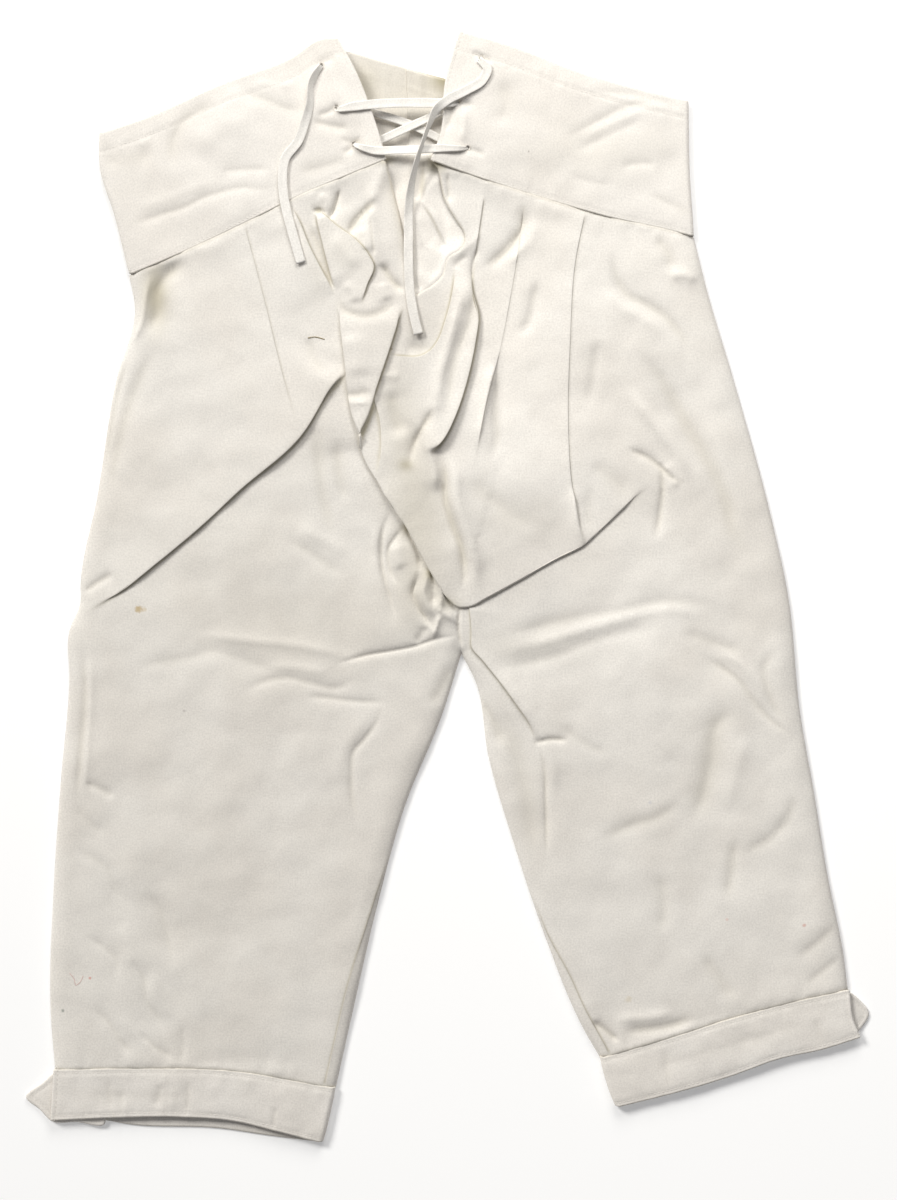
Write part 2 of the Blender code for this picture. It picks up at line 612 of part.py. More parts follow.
def make_waistband():
    first = WAIST_FOLD / HALF_WAIST
    for name, seam, top, side, point, front_seam, front_top, front_end, under, outward in (
        (
            "waistband_left", WAIST_SEAM_LEFT, WAIST_TOP_LEFT, WAIST_SIDE_LEFT, WAIST_POINT_LEFT,
            FRONT_SEAM_LEFT, FRONT_TOP_LEFT, FRONT_END_LEFT, flat_height, -1,
        ),
        (
            "waistband_right", WAIST_SEAM_RIGHT[::-1], WAIST_TOP_RIGHT[::-1], WAIST_SIDE_RIGHT,
            WAIST_POINT_RIGHT, FRONT_SEAM_RIGHT, FRONT_TOP_RIGHT, FRONT_END_RIGHT,
            front_run_height, 1,
        ),
    ):
        back = patch(seam, top, side, point, WAIST_COLUMNS, WAIST_ROWS, first)
        front = patch(front_seam, front_top, side, front_end, WAIST_COLUMNS, WAIST_ROWS, first)
        for run in (back, front):
            run[:, 0, 1] += SEAM
        add_strip(name, front, back, under, waist_run_height, WAIST_FOLD, outward, BAND_COLOUR)


def make_knee_bands():
    first = KNEE_FOLD / KNEE_WIDTH
    for name, seam, hem, front_hem, inner, outer, outward in (
        (
            "knee_band_left", KNEE_SEAM_LEFT[::-1], HEM_LEFT[::-1], HEM_FRONT_LEFT[::-1],
            KNEE_INNER_LEFT, KNEE_OUTER_LEFT, 1,
        ),
        (
            "knee_band_right", KNEE_SEAM_RIGHT, HEM_RIGHT, HEM_RIGHT,
            KNEE_INNER_RIGHT, KNEE_OUTER_RIGHT, -1,
        ),
    ):
        back = patch(hem, seam, inner[::-1], outer[::-1], KNEE_COLUMNS, KNEE_ROWS, first)
        front = patch(front_hem, seam, inner[::-1], outer[::-1], KNEE_COLUMNS, KNEE_ROWS, first)
        for run in (back, front):
            run[:, -1, 1] -= SEAM
        add_strip(name, front, back, flat_height, knee_run_height, KNEE_FOLD, outward, BAND_COLOUR)


def make_tabs():
    for name, outline in (("knee_tab_left", TAB_LEFT), ("knee_tab_right", TAB_RIGHT)):
        add_flat(name, outline, TAB_CLOTH, DOUBLED + LAYER_GAP, BAND_COLOUR)


def make_lace():
    for name, route in LACE_ROUTES.items():
        add_tape(name, route, TAPE_COLOUR)


def clear_scene():
    for old in list(bpy.data.objects):
        bpy.data.objects.remove(old)


clear_scene()
collection = bpy.data.collections.new("Knee breeches")
bpy.context.scene.collection.children.link(collection)
make_back_legs()
make_front_legs()
make_gusset()
make_waistband()
make_knee_bands()
make_tabs()
make_lace()
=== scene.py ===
"""Knee breeches in cream cotton drill, laid out flat on their front with the laced back up.

Lengths are millimetres until a mesh is made, which is in metres. +X is to the right as the
breeches lie, +Y is towards the waist and +Z is up. Left and right are the wearer's.
"""

import math
from collections import defaultdict, namedtuple

import bpy
import numpy as np
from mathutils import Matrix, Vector, noise
from mathutils.geometry import delaunay_2d_cdt


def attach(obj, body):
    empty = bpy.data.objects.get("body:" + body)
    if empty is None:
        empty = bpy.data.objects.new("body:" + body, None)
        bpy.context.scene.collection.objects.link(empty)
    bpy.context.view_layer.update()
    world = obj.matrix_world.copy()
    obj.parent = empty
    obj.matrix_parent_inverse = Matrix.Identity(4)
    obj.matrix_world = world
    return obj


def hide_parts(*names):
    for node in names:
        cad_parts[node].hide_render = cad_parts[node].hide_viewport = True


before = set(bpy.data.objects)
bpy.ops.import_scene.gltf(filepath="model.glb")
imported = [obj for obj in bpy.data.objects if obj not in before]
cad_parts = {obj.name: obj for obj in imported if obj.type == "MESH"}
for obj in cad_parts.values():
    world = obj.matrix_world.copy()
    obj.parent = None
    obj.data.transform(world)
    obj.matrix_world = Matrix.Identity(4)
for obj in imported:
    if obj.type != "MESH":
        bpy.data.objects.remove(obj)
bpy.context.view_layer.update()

MM = 0.001

# What the picture takes in, at the height where the cloth lies
VIEW_CENTRE = (-1.05, -8.4)
VIEW_HEIGHT = 840.0
LENS = 85.0
SENSOR = 36.0

# Cloth
CLOTH = 0.7  # leg panels and gusset
BAND_CLOTH = 1.3  # waistband and knee bands, two layers
TAB_CLOTH = 1.4
TUCK = 0.4  # how far a leg panel runs into the band it is sewn to
TUCK_REACH = 2.4  # how far from the seam it starts to dip
TUCK_DEPTH = 0.3
PAINTED_SHADE_REACH = 1.1  # how far the painted shade of a crease spreads from the edge that lies over it
ROLL_SHADE = 0.4  # how dark the painted shade on the rolled edge over it is, as a share of that
# Painted shade along the seams that join the back to its bands
SEAM_SHADE = 0.3
FOLD_STRENGTH = 0.85
FOLD_ENDS = 0.27  # the share of its length that a soft fold takes to swell up, at each end
CREASE_ROUND = 0.28  # how round a soft fold's own line is, as a share of its width
CREASE_TAPER = 1.55  # how fast it falls away on both sides, in its widths
TROUGH_SHADE = 0.085  # how dark a trough is painted, as painted shade, for each millimetre of its depth
TROUGH_SPREAD = 0.75  # how wide that painted shade is, as a share of its width
TROUGH_MOST = 0.6
LAP_LINE = 2.5  # spacing of the points that a lap is measured from
EDGE_LINE = 6.0  # and an edge or a seam
LAP_STEP = 0.45  # how far a lap takes to step up, in widths
LAP_FOOT = 0.2  # how far past its bend the painted shade at its foot may lie, in widths
ROLL_WIDTH = 0.6  # how wide the painted shade of its rolled edge is, in widths

# Puckers along a seam and a stitch line: pitch, reach and height
SEAM_PUCKERS = (7.5, 9.0, 0.8)
STITCH_PUCKERS = (6.0, 4.5, 0.5)
PUCKER_START = 2.5  # how far from a seam they grow to their height

# The slow unevenness of handled cloth: reach, height and seed of each wave
WRINKLES = ((52, 1.3, 1.0), (21, 0.7, 5.0), (9, 0.15, 9.0))
FRONT_WRINKLES = ((34, 1.2, 11.0),)
WAIST_WRINKLES = ((40, 1.2, 31.0), (15, 0.5, 35.0))
KNEE_WRINKLES = ((26, 0.9, 41.0), (10, 0.3, 43.0))
TAB_WRINKLES = ((12, 0.4, 51.0),)

# Heights of the outer, upper face of the back
EDGE_HEIGHT = 1.6
REST_HEIGHT = 6.0
ROLL = 13.0
WAIST_FOLD = 3.0
WAIST_LIFT = 5.5
KNEE_FOLD = 3.2
HALF_WAIST = 195.0
KNEE_WIDTH = 198.0
SEAM_REACH = 22.0  # how far a panel takes to leave the height of the band it is sewn to
FOLD_REACH = 6.0  # how near that band its folds come
VENT_ROLL = 1.6  # radius of the turned edge of the slit
VENT_SHADE = 0.45  # how dark that edge is painted, as painted shade
GUSSET_PAINTED_LIGHT = 0.07  # painted light: how much lighter the gusset is painted

# Mesh spacing
GRID = 2.6
OUTLINE_SPACING = 1.8
SEAM_SPACING = 1.2
EDGE_ROWS = (0.5, 1.2, 2.2, 3.6, 5.4)
LAP_REACH = 1.6  # widths on each side of a lap's bend that get rows of points
ROW_SPACING = 0.7  # between those rows, at the least
ROW_SHARE = 0.16  # and in widths
POINT_SPACING = 1.5  # along a row
SOFT_ROWS = (-1.2, -0.6, 0.0, 0.6, 1.2)
NARROW_FOLD = 6.0  # soft folds under this width get rows of their own
FOLD_APART = 0.55
GRID_APART = 1.4
CELL = 2.0  # size of the cells in which crowding is looked for
ON_SEAM = 0.02  # how near the centre back seam a point is on it
WAIST_ROWS = 62  # points across a half of the waistband
WAIST_COLUMNS = (110, 150)  # and along its lower and its upper run
KNEE_ROWS = 30
KNEE_COLUMNS = (80, 140)

# Edges of the pieces in plan
OUTSEAM_LEFT = (
    (-225, 219), (-221, 197), (-234, 146), (-247, 66), (-259, 2), (-259, -9),
    (-267, -30), (-267, -64), (-273, -136), (-278, -211), (-280, -300), (-277, -337),
)
INSEAM_LEFT = ((8, -46), (-6, -90), (-31, -151), (-50, -219), (-70, -305), (-80, -350))
OUTSEAM_RIGHT = (
    (171, 246), (180, 210), (199, 146), (225, 51), (237, -4), (246, -90),
    (255, -141), (265, -202), (276, -257), (279, -281),
)
INSEAM_RIGHT = ((8, -46), (18, -66), (27, -118), (46, -183), (69, -251), (94, -310), (105, -329))
WAIST_SEAM_LEFT = ((-225, 219), (-196, 231), (-144, 255), (-112, 271), (-45, 299))
WAIST_SEAM_RIGHT = ((-13, 298), (19, 287), (73, 270), (113, 259), (146, 252), (171, 246))
KNEE_SEAM_LEFT = ((-277, -337), (-223, -336), (-150, -338), (-91, -348), (-80, -350))
KNEE_SEAM_RIGHT = ((105, -329), (156, -314), (197, -301), (238, -290), (279, -281))
VENT_LEFT = ((-45, 299), (-38, 272), (-31, 242), (-26, 215), (-24, 205))
VENT_RIGHT = (
    (-9, 295), (-2, 267), (4, 257), (10, 246), (8, 238), (-2, 231), (-6, 218), (-24, 205),
)
CENTRE_BACK = (
    (-24, 205), (-22, 180), (-20, 152), (-20, 127), (-21, 105), (-13, 78), (-4, 52), (4, 25),
    (8, -5), (8, -46),
)
CENTRE_FRONT = ((-10, 264), (0, 100), (8, -46))
FRONT_WAIST_LEFT = ((-225, 218.6), (-130, 246.5), (-60, 262.5), (-10, 266.9))
FRONT_WAIST_RIGHT = ((-10, 266.9), (60, 263.4), (171, 245.5))
FRONT_SEAM_LEFT = ((-225, 219), (-130, 247), (-60, 263), (9, 268))
FRONT_SEAM_RIGHT = ((171, 246), (60, 264), (-10, 268), (-28, 268))
FRONT_TOP_LEFT = ((-246, 318), (-150, 350), (-74, 377), (-49, 370), (9, 354))
FRONT_TOP_RIGHT = ((167, 341), (60, 350), (-14, 359), (-30, 364))
WAIST_TOP_LEFT = ((-246, 318), (-216, 328), (-156, 354), (-112, 370), (-88, 384), (-79, 384))
WAIST_TOP_RIGHT = ((7, 389), (43, 379), (86, 363), (120, 353), (167, 342))
WAIST_SIDE_LEFT = ((-225, 219), (-235, 260), (-245, 292), (-246, 318))
WAIST_SIDE_RIGHT = ((171, 246), (168, 281), (167, 304), (167, 341))
WAIST_POINT_LEFT = ((-45, 299), (-52, 323), (-69, 366), (-79, 384))
WAIST_POINT_RIGHT = ((-13, 298), (-6, 318), (-3, 352), (7, 389))
FRONT_END_LEFT = ((9, 268), (9, 354))
FRONT_END_RIGHT = ((-28, 268), (-30, 364))
FRONT_LAP_X = 22.0
FRONT_LAP_RISE = 1.6
WAIST_SIDE_REACH = 16  # how far from its folded side the band takes to lie uneven
# Painted shade along the long edges of a band
BAND_EDGE_SHADE = 0.22
BAND_SOLE = 0.3  # the lowest place of a band, so that its stitches clear the floor
HEM_LEFT = ((-279, -373), (-241, -371), (-191, -370), (-150, -373), (-124, -379), (-89, -388))
HEM_FRONT_LEFT = ((-277, -370), (-241, -371), (-225, -374), (-161, -378), (-124, -384), (-89, -389))
HEM_RIGHT = ((116, -364), (160, -353), (197, -342), (230, -330), (258, -324), (287, -315))
KNEE_OUTER_LEFT = ((-277, -337), (-279, -373))
KNEE_INNER_LEFT = ((-80, -350), (-84, -367), (-89, -389))
KNEE_OUTER_RIGHT = ((279, -281), (282, -303), (287, -315))
KNEE_INNER_RIGHT = ((105, -329), (111, -349), (116, -364))
TAB_LEFT = (
    (-244, -343), (-275, -338.5), (-286, -347.5), (-297, -357), (-287, -366), (-280, -373),
    (-262, -374), (-242, -374.5), (-242, -370),
)
TAB_RIGHT = ((252, -291), (279, -283), (287, -289), (293.5, -298), (287, -310), (256, -319))
GUSSET_SIDES = (
    (-60, 304), (-50, 250), (-38, 215), (-24, 194), (-8, 204), (0, 216), (15, 244), (12, 304),
)
GUSSET_TOP = ((12, 304), (-60, 304))

# Overlapping folds: the cloth on the left of the path, walking along it, lies over the rest.
# A rise may be one number, or pairs of a place from 0 to 1 along the path and a height there.
# The shade is how dark the foot of the fold is painted, as painted shade.
Lap = namedtuple("Lap", "path width lap rise roll fade_in fade_out shade")
LAPS = (
    Lap((  # seat
        (-81, 208), (-77, 183), (-73, 151), (-71, 132), (-67, 113), (-59, 88), (-48, 70),
        (-34, 48), (-22, 26), (-12, 8), (-3, -6), (5, -13), (14, -13), (26, -7), (50, 6), (77, 21),
        (91, 28), (104, 39), (125, 59), (145, 76),
    ), 7.0, 1.45, (
        (0, 3.0), (0.28, 3.8), (0.42, 4.4), (0.5, 2.8), (0.56, 1.6), (0.64, 1.3), (0.72, 1.1),
        (1, 0.9),
    ), 30, 30, 34, 0.22),
    Lap((  # seat band
        (-58, 95), (-59, 104), (-56, 119), (-52, 137), (-46, 155), (-42, 167), (-36, 186),
        (-32, 199),
    ), 5.0, 1.35, 4.0, 20, 14, 20, 0.9),
    Lap((  # left thigh
        (-258, -19), (-232, -4), (-204, 18), (-175, 42), (-147, 68), (-104, 106), (-82, 142),
        (-74, 154),
    ), 6.0, 1.4, ((0, 3.0), (0.5, 3.4), (1, 4.8)), 30, 40, 16, 0.8),
    Lap((  # right seat
        (-15, 92), (-4, 104), (4, 120), (9, 134), (14, 152), (18, 172), (20, 190), (16, 208),
        (16, 220), (20, 234),
    ), 6.0, 1.4, ((0, 7.5), (0.5, 6.0), (1, 2.5)), 16, 12, 34, 1.0),
    Lap((  # slit flap
        (-62, 197), (-58, 211), (-53, 225), (-57, 233), (-69, 246), (-79, 253), (-92, 265),
    ), 3.6, 1.15, ((0, 2.6), (0.4, 3.0), (1, 1.6)), 12, 12, 8, 0.8),
    Lap((  # seat pocket
        (3, 226), (2, 211), (0, 199), (-4, 185), (-8, 174), (-14, 166), (-22, 162), (-32, 162),
        (-42, 163),
    ), 4.0, 1.15, ((0, 2.0), (0.4, 3.6), (0.6, 1.6), (1, 0.8)), 9, 18, 10, 0.8),
    Lap((  # left gather
        (-80, 204), (-90, 223), (-99, 241), (-105, 256), (-112, 269),
    ), 2.8, 1.1, 2.4, 20, 14, 14, 0.6),
    Lap((  # flap side
        (-95, 264), (-91, 248), (-87, 232), (-83, 218), (-79, 207),
    ), 2.6, 1.1, 2.4, 14, 8, 12, 0.6),
    Lap((  # seat sliver
        (-52, 140), (-49, 122), (-48, 104), (-48, 76),
    ), 2.4, 1.2, 1.6, 16, 14, 20, 0.5),
    Lap((  # bag inner edge
        (-50, 76), (-44, 65), (-37, 54), (-29, 44),
    ), 2.4, 1.1, 1.3, 10, 12, 12, 0.6),
    Lap((  # crotch strip
        (14, -14), (15, -32), (15, -41), (23, -51), (35, -66), (46, -81), (56, -96), (61, -110),
    ), 2.6, 1.1, 1.6, 12, 6, 26, 0.6),
    Lap((  # right first pleat
        (16, 223), (20, 248), (24, 275),
    ), 2.2, 1.1, 0.8, 14, 14, 8, 0.4),
    Lap((  # right middle pleat
        (16, 79), (26, 132), (34, 162), (41, 196), (46, 225), (52, 270),
    ), 2.2, 1.05, 0.25, 16, 40, 8, 0.25),
    Lap((  # right outer pleat
        (91, 29), (90, 47), (85, 74), (83, 106), (84, 171), (88, 230), (95, 264),
    ), 2.2, 1.1, ((0, 1.2), (0.3, 0.3), (1, 0.25)), 14, 26, 8, 0.3),
    Lap((  # left pleat
        (-106, 111), (-115, 142), (-130, 202), (-144, 255),
    ), 2.2, 1.05, 0.3, 16, 40, 8, 0.3),
    Lap((  # left inseam
        (-40, -180), (-58, -235), (-71, -276), (-81, -318), (-88, -349),
    ), 2.2, 1.0, 0.8, 9, 40, 4, 0.6),
    Lap((  # right inseam
        (112, -327), (105, -314), (94, -294), (84, -272), (68, -242), (56, -210),
    ), 2.2, 1.0, 0.8, 9, 4, 40, 0.6),
)

# Soft folds: a ridge where height is above 0, a trough where it is below.
# A row holds a width, a height and the places that the fold runs through.
Soft = namedtuple("Soft", "path width height")


def soft_folds(*rows):
    return tuple(Soft(places, width, height) for width, height, *places in rows)


SOFT_FOLDS = soft_folds(
    # Left of the slit
    (5.5, 3.7, (-46, 297), (-50, 284), (-55, 266), (-55, 250), (-52, 234), (-47, 222)),
    (5.5, -3.0, (-42, 298), (-38, 272), (-31, 242), (-27, 215)),
    (3.4, -4.5, (-51, 273), (-57, 266), (-63, 260), (-68, 253), (-70, 245)),
    (1.8, -3.4, (-77, 280), (-80, 268), (-84, 256)),
    (4.0, 1.8, (-92, 276), (-86, 270), (-86, 262)),
    (1.5, -1.8, (-56, 263), (-55, 249), (-53, 238), (-52, 227)),
    (3.6, 2.4, (-63, 253), (-59, 244), (-58, 234)),
    (2.8, -3.4, (-48, 228), (-42, 217), (-38, 212), (-31, 207)),
    (5.0, 1.6, (-47, 214), (-46, 206), (-44, 200)),
    (2.0, -2.0, (-97, 263), (-92, 264.5), (-85, 262)),
    (6.0, 1.8, (-84, 246), (-72, 234), (-64, 222)),
    (4.5, 1.6, (-74, 214), (-68, 206), (-66, 198)),
    (3.0, -2.8, (-100, 258), (-93, 240), (-86, 222), (-80, 207)),
    # The strip between the slit and the seat fold
    (3.8, -2.2, (-80, 205), (-75, 197), (-68, 192), (-58, 190), (-46, 194), (-36, 201)),
    (4.0, -1.8, (-73, 139), (-64, 135), (-56, 139)),
    (3.0, 1.2, (-71, 131), (-64, 130), (-57, 130)),
    (8.0, 1.8, (-68, 180), (-63, 162), (-61, 146)),
    # The pocket below the slit
    (4.2, 3.8, (5, 216), (7, 204), (4, 186), (-2, 166), (-7, 148), (-9, 130), (-14, 112)),
    (3.4, -2.0, (12, 228), (13, 206), (12, 188), (6, 168), (1, 150), (-2, 130), (-8, 114)),
    (6.0, -1.8, (-14, 170), (-22, 168), (-32, 170)),
    # The bag of cloth right of the centre
    (3.6, 1.2, (-48, 146), (-41, 148), (-34, 147)),
    (9.0, -3.6, (-42, 140), (-38, 120), (-33, 104)),
    (3.4, -3.6, (-10, 128), (-16, 117), (-22, 107), (-26, 97), (-27, 84)),
    (5.5, 3.8, (-19, 108), (-15, 95), (-11, 82), (-9, 66)),
    (3.8, -4.2, (-10, 100), (-4, 80), (-3, 62), (2, 45), (8, 28), (10, 8), (8, -6)),
    (5.0, 4.2, (-5, 100), (3, 80), (5, 61), (10, 45), (16, 28), (19, 8), (17, -4)),
    (9.0, -1.4, (-18, 84), (-13, 62), (-6, 42), (1, 24)),
    (10.0, -1.5, (10, 80), (24, 66), (42, 52), (66, 40)),
    # Right of the bag, up to the waist
    (4.4, 3.4, (31, 160), (26, 138), (22, 116), (19, 96)),
    (4.4, -2.4, (36, 168), (33, 142), (32, 120), (33, 104), (27, 86)),
    (4.4, -3.6, (48, 269), (51, 256), (45, 243), (34, 231), (22, 223)),
    (5.0, 1.6, (58, 262), (58, 248), (50, 236), (38, 224)),
    (4.0, -2.0, (61, 217), (58, 200), (54, 185), (46, 176)),
    # The lip of the slit
    (1.8, -1.8, (-2, 291), (-1, 279), (-1, 268)),
    (2.6, -1.1, (2, 223), (6, 228), (13, 233)),
    (3.6, 1.1, (0, 229), (9, 236), (17, 243), (23, 252)),
    (2.6, -2.0, (21, 240), (16, 228), (15, 213)),
    # The outer pleat
    (4.2, -1.3, (103, 176), (100, 150), (96, 126)),
    (4.2, -0.7, (98, 74), (97, 57), (95, 40)),
    (3.0, 2.2, (86, 72), (87, 52), (91, 30)),
    # Right side of the seat
    (
        4.2, -2.3, (113, 238), (117, 216), (124, 205), (138, 198), (150, 190), (160, 179),
        (170, 158),
    ),
    (7.0, 1.4, (106, 214), (118, 197), (136, 188), (150, 174)),
    (5.0, -1.6, (142, 247), (153, 234), (156, 220)),
    (4.0, 1.8, (152, 217), (163, 219), (174, 214)),
    (
        6.5, -2.3, (126, 170), (145, 150), (156, 132), (166, 113), (177, 95), (187, 76), (194, 58),
        (198, 40), (205, 27), (214, 17),
    ),
    (5.0, 2.8, (124, 142), (136, 124), (150, 106), (162, 88), (171, 72)),
    (8.0, 1.6, (178, 120), (192, 92), (204, 60), (212, 36)),
    (2.6, -2.4, (122, 98), (137, 92), (148, 84), (157, 76), (166, 72)),
    (4.5, 1.7, (150, 88), (155, 79), (161, 70)),
    (2.8, -2.2, (147, 89), (149, 70), (147, 52), (144, 32)),
    (8.0, -1.2, (98, 88), (112, 77), (126, 66)),
    # Left side of the seat
    (6.5, -4.4, (-182, 229), (-196, 221), (-205, 207), (-205, 192), (-213, 176)),
    (2.4, 2.6, (-211, 219), (-213, 202), (-216, 185), (-223, 169)),
    (5.5, -1.7, (-201, 170), (-213, 155), (-221, 138), (-229, 113), (-235, 88), (-238, 60)),
    (2.8, -1.6, (-223, 168), (-231, 144), (-238, 110), (-243, 78)),
    (2.8, -2.0, (-258, -4), (-248, 3), (-234, 11)),
    (4.0, -1.2, (-99, 178), (-95, 160), (-87, 148)),
    (6.2, -1.7, (-92, 118), (-92, 88), (-88, 60), (-80, 30)),
    (5.0, -1.6, (-79, 106), (-78, 82), (-72, 58)),
    (5.5, -1.4, (-118, 37), (-100, 26), (-85, 16), (-72, 6)),
    (6.0, 1.0, (-108, 44), (-88, 33), (-68, 22)),
    # Beside the crotch
    (2.2, -2.4, (-37, -26), (-42, -6), (-47, 12), (-48, 26), (-47, 40), (-43, 56)),
    (3.4, 1.4, (-43, -6), (-51, 14), (-52, 30), (-50, 48)),
    # Left side of the thigh
    (3.2, -1.8, (-262, -156), (-259, -120), (-256, -64), (-259, -36)),
    (3.0, 1.2, (-256, -150), (-253, -110), (-251, -64), (-252, -36)),
    # The crotch
    (1.9, -2.0, (8, -33), (-10, -36), (-25, -41), (-40, -44), (-58, -47), (-82, -54)),
    (2.4, 1.6, (-46, 70), (-41, 60), (-36, 51)),
    (1.7, -2.2, (-48, 75), (-43, 66), (-37, 57), (-32, 47)),
    (2.0, -2.5, (-35, 44), (-39, 35), (-43, 27), (-43, 18), (-40, 8), (-36, 1)),
    (4.4, 2.0, (-38, 32), (-37, 22), (-34, 12)),
    (1.9, -3.9, (-35, 46), (-32, 36), (-27, 26), (-24, 16), (-23, 9)),
    (1.5, 1.6, (-30, 38), (-26, 29), (-24, 18)),
    (1.8, -2.8, (-30, 44), (-25, 34), (-21, 24), (-18, 14)),
    (2.2, -4.2, (-24, 14), (-24, 5), (-26, -3), (-24, -10), (-17, -21), (-11, -29)),
    (2.4, 2.6, (-21, 14), (-19, 4), (-19, -4), (-15, -14), (-9, -22)),
    (1.8, -2.8, (-17, 12), (-15, 2), (-13, -8), (-11, -15)),
    (2.2, 3.0, (-13, 5), (-9, -7), (-7, -17), (0, -22), (7, -27)),
    (2.2, 2.6, (-7, -18), (-9, -26), (-12, -35)),
    (2.4, -3.4, (-9, 0), (-4, -10), (2, -17), (8, -20)),
    (3.4, -1.8, (-17, -26), (-20, -33), (-25, -39)),
    (1.8, -2.2, (6, -15), (6, -30), (9, -43)),
    (6.0, -1.6, (2, -52), (-4, -66), (-14, -84)),
    # Across the left thigh
    (
        6.5, -1.12, (-228, -70), (-213, -55), (-196, -51), (-180, -48), (-166, -44), (-152, -48),
        (-128, -56), (-104, -60),
    ),
    (4.0, 1.35, (-184, -33), (-165, -34), (-140, -37), (-110, -40), (-80, -46), (-62, -52)),
    (3.4, -1.27, (-148, -75), (-131, -66), (-114, -63), (-96, -67), (-79, -70), (-64, -60)),
    (4.0, 1.05, (-132, -56), (-105, -56), (-84, -61)),
    (2.8, -1.2, (-104, -76), (-85, -77), (-70, -79), (-42, -80)),
    (
        2.6, -1.5, (-48, -80), (-51, -93), (-60, -106), (-67, -114), (-69, -132), (-68, -150),
        (-60, -169),
    ),
    (7.0, 0.9, (-56, -84), (-66, -100), (-76, -118), (-78, -140)),
    (3.4, -1.4, (-257, -136), (-246, -140), (-234, -147)),
    # Left knee
    (4.0, -0.83, (-264, -150), (-251, -166), (-238, -173)),
    (4.4, -1.05, (-266, -182), (-249, -190), (-240, -196), (-234, -212), (-224, -224)),
    (3.8, -1.2, (-218, -213), (-206, -221), (-200, -234), (-197, -250), (-190, -268)),
    (3.4, -1.05, (-256, -243), (-242, -252), (-234, -260), (-235, -276)),
    (3.6, -1.27, (-225, -260), (-215, -272), (-212, -290), (-205, -301), (-198, -316)),
    (3.2, -1.27, (-252, -293), (-239, -304), (-232, -316), (-219, -328)),
    (3.2, -1.2, (-219, -310), (-206, -322), (-191, -330)),
    (3.2, -0.9, (-188, -304), (-187, -320), (-189, -334)),
    (4.5, 0.83, (-208, -268), (-205, -286), (-195, -303)),
    (4.2, 0.83, (-232, -298), (-222, -311), (-208, -325)),
    (7.0, 0.68, (-228, -232), (-226, -250), (-222, -268)),
    (6.0, 0.52, (-206, -206), (-194, -220), (-189, -240)),
    (5.0, -0.5, (-170, -328), (-130, -330), (-104, -336)),
    # Across the right thigh
    (7.0, -1.42, (22, -37), (52, -30), (84, -22), (120, -16), (150, -10), (178, -12), (198, -20)),
    (5.0, 1.72, (25, -48), (46, -42), (72, -36), (100, -27), (130, -19), (158, -15), (188, -26)),
    (5.0, -1.27, (24, -56), (50, -53), (76, -47), (100, -37), (124, -30), (154, -27)),
    (5.0, -1.12, (160, -30), (184, -38), (208, -46)),
    (3.0, -1.65, (174, -46), (192, -57), (203, -66), (213, -80), (224, -92), (242, -106)),
    (3.6, 1.2, (184, -43), (204, -54), (215, -66), (228, -86)),
    (4.0, -1.27, (230, -42), (220, -56), (222, -70), (228, -84), (237, -98)),
    # Inner side of the right leg
    (2.0, -1.9, (61, -110), (66, -126), (67, -150), (68, -190)),
    (2.2, -2.0, (57, -109), (70, -106), (84, -107)),
    (4.0, -0.9, (76, -94), (86, -103), (96, -110), (114, -117)),
    (5.5, 2.2, (30, -52), (44, -70), (58, -92), (70, -118), (74, -150)),
    (9.0, -1.6, (32, -82), (48, -120), (56, -160), (60, -196)),
    (4.0, -1.8, (19, -76), (30, -92), (37, -112)),
    # Right knee
    (9.0, -2.2, (205, -82), (187, -96), (183, -120), (178, -142), (170, -168)),
    (6.0, -1.4, (102, -177), (128, -166), (148, -159), (164, -146)),
    (6.0, -1.2, (147, -198), (150, -222), (148, -244)),
    (5.0, -1.6, (200, -174), (197, -200), (194, -222)),
    (5.0, -1.4, (202, -187), (228, -172), (238, -158), (240, -142)),
    (9.0, 1.2, (208, -100), (200, -130), (194, -160)),
    (2.6, -2.8, (99, -302), (108, -309), (119, -319)),
    (4.0, -2.2, (118, -311), (140, -309), (160, -305), (174, -299)),
    (4.0, 1.5, (114, -302), (136, -301), (158, -297)),
    (6.0, -1.5, (175, -256), (188, -272), (199, -290)),
    (4.0, -1.2, (243, -259), (258, -248), (271, -235)),
    (3.6, -1.05, (249, -277), (264, -266), (274, -257)),
)

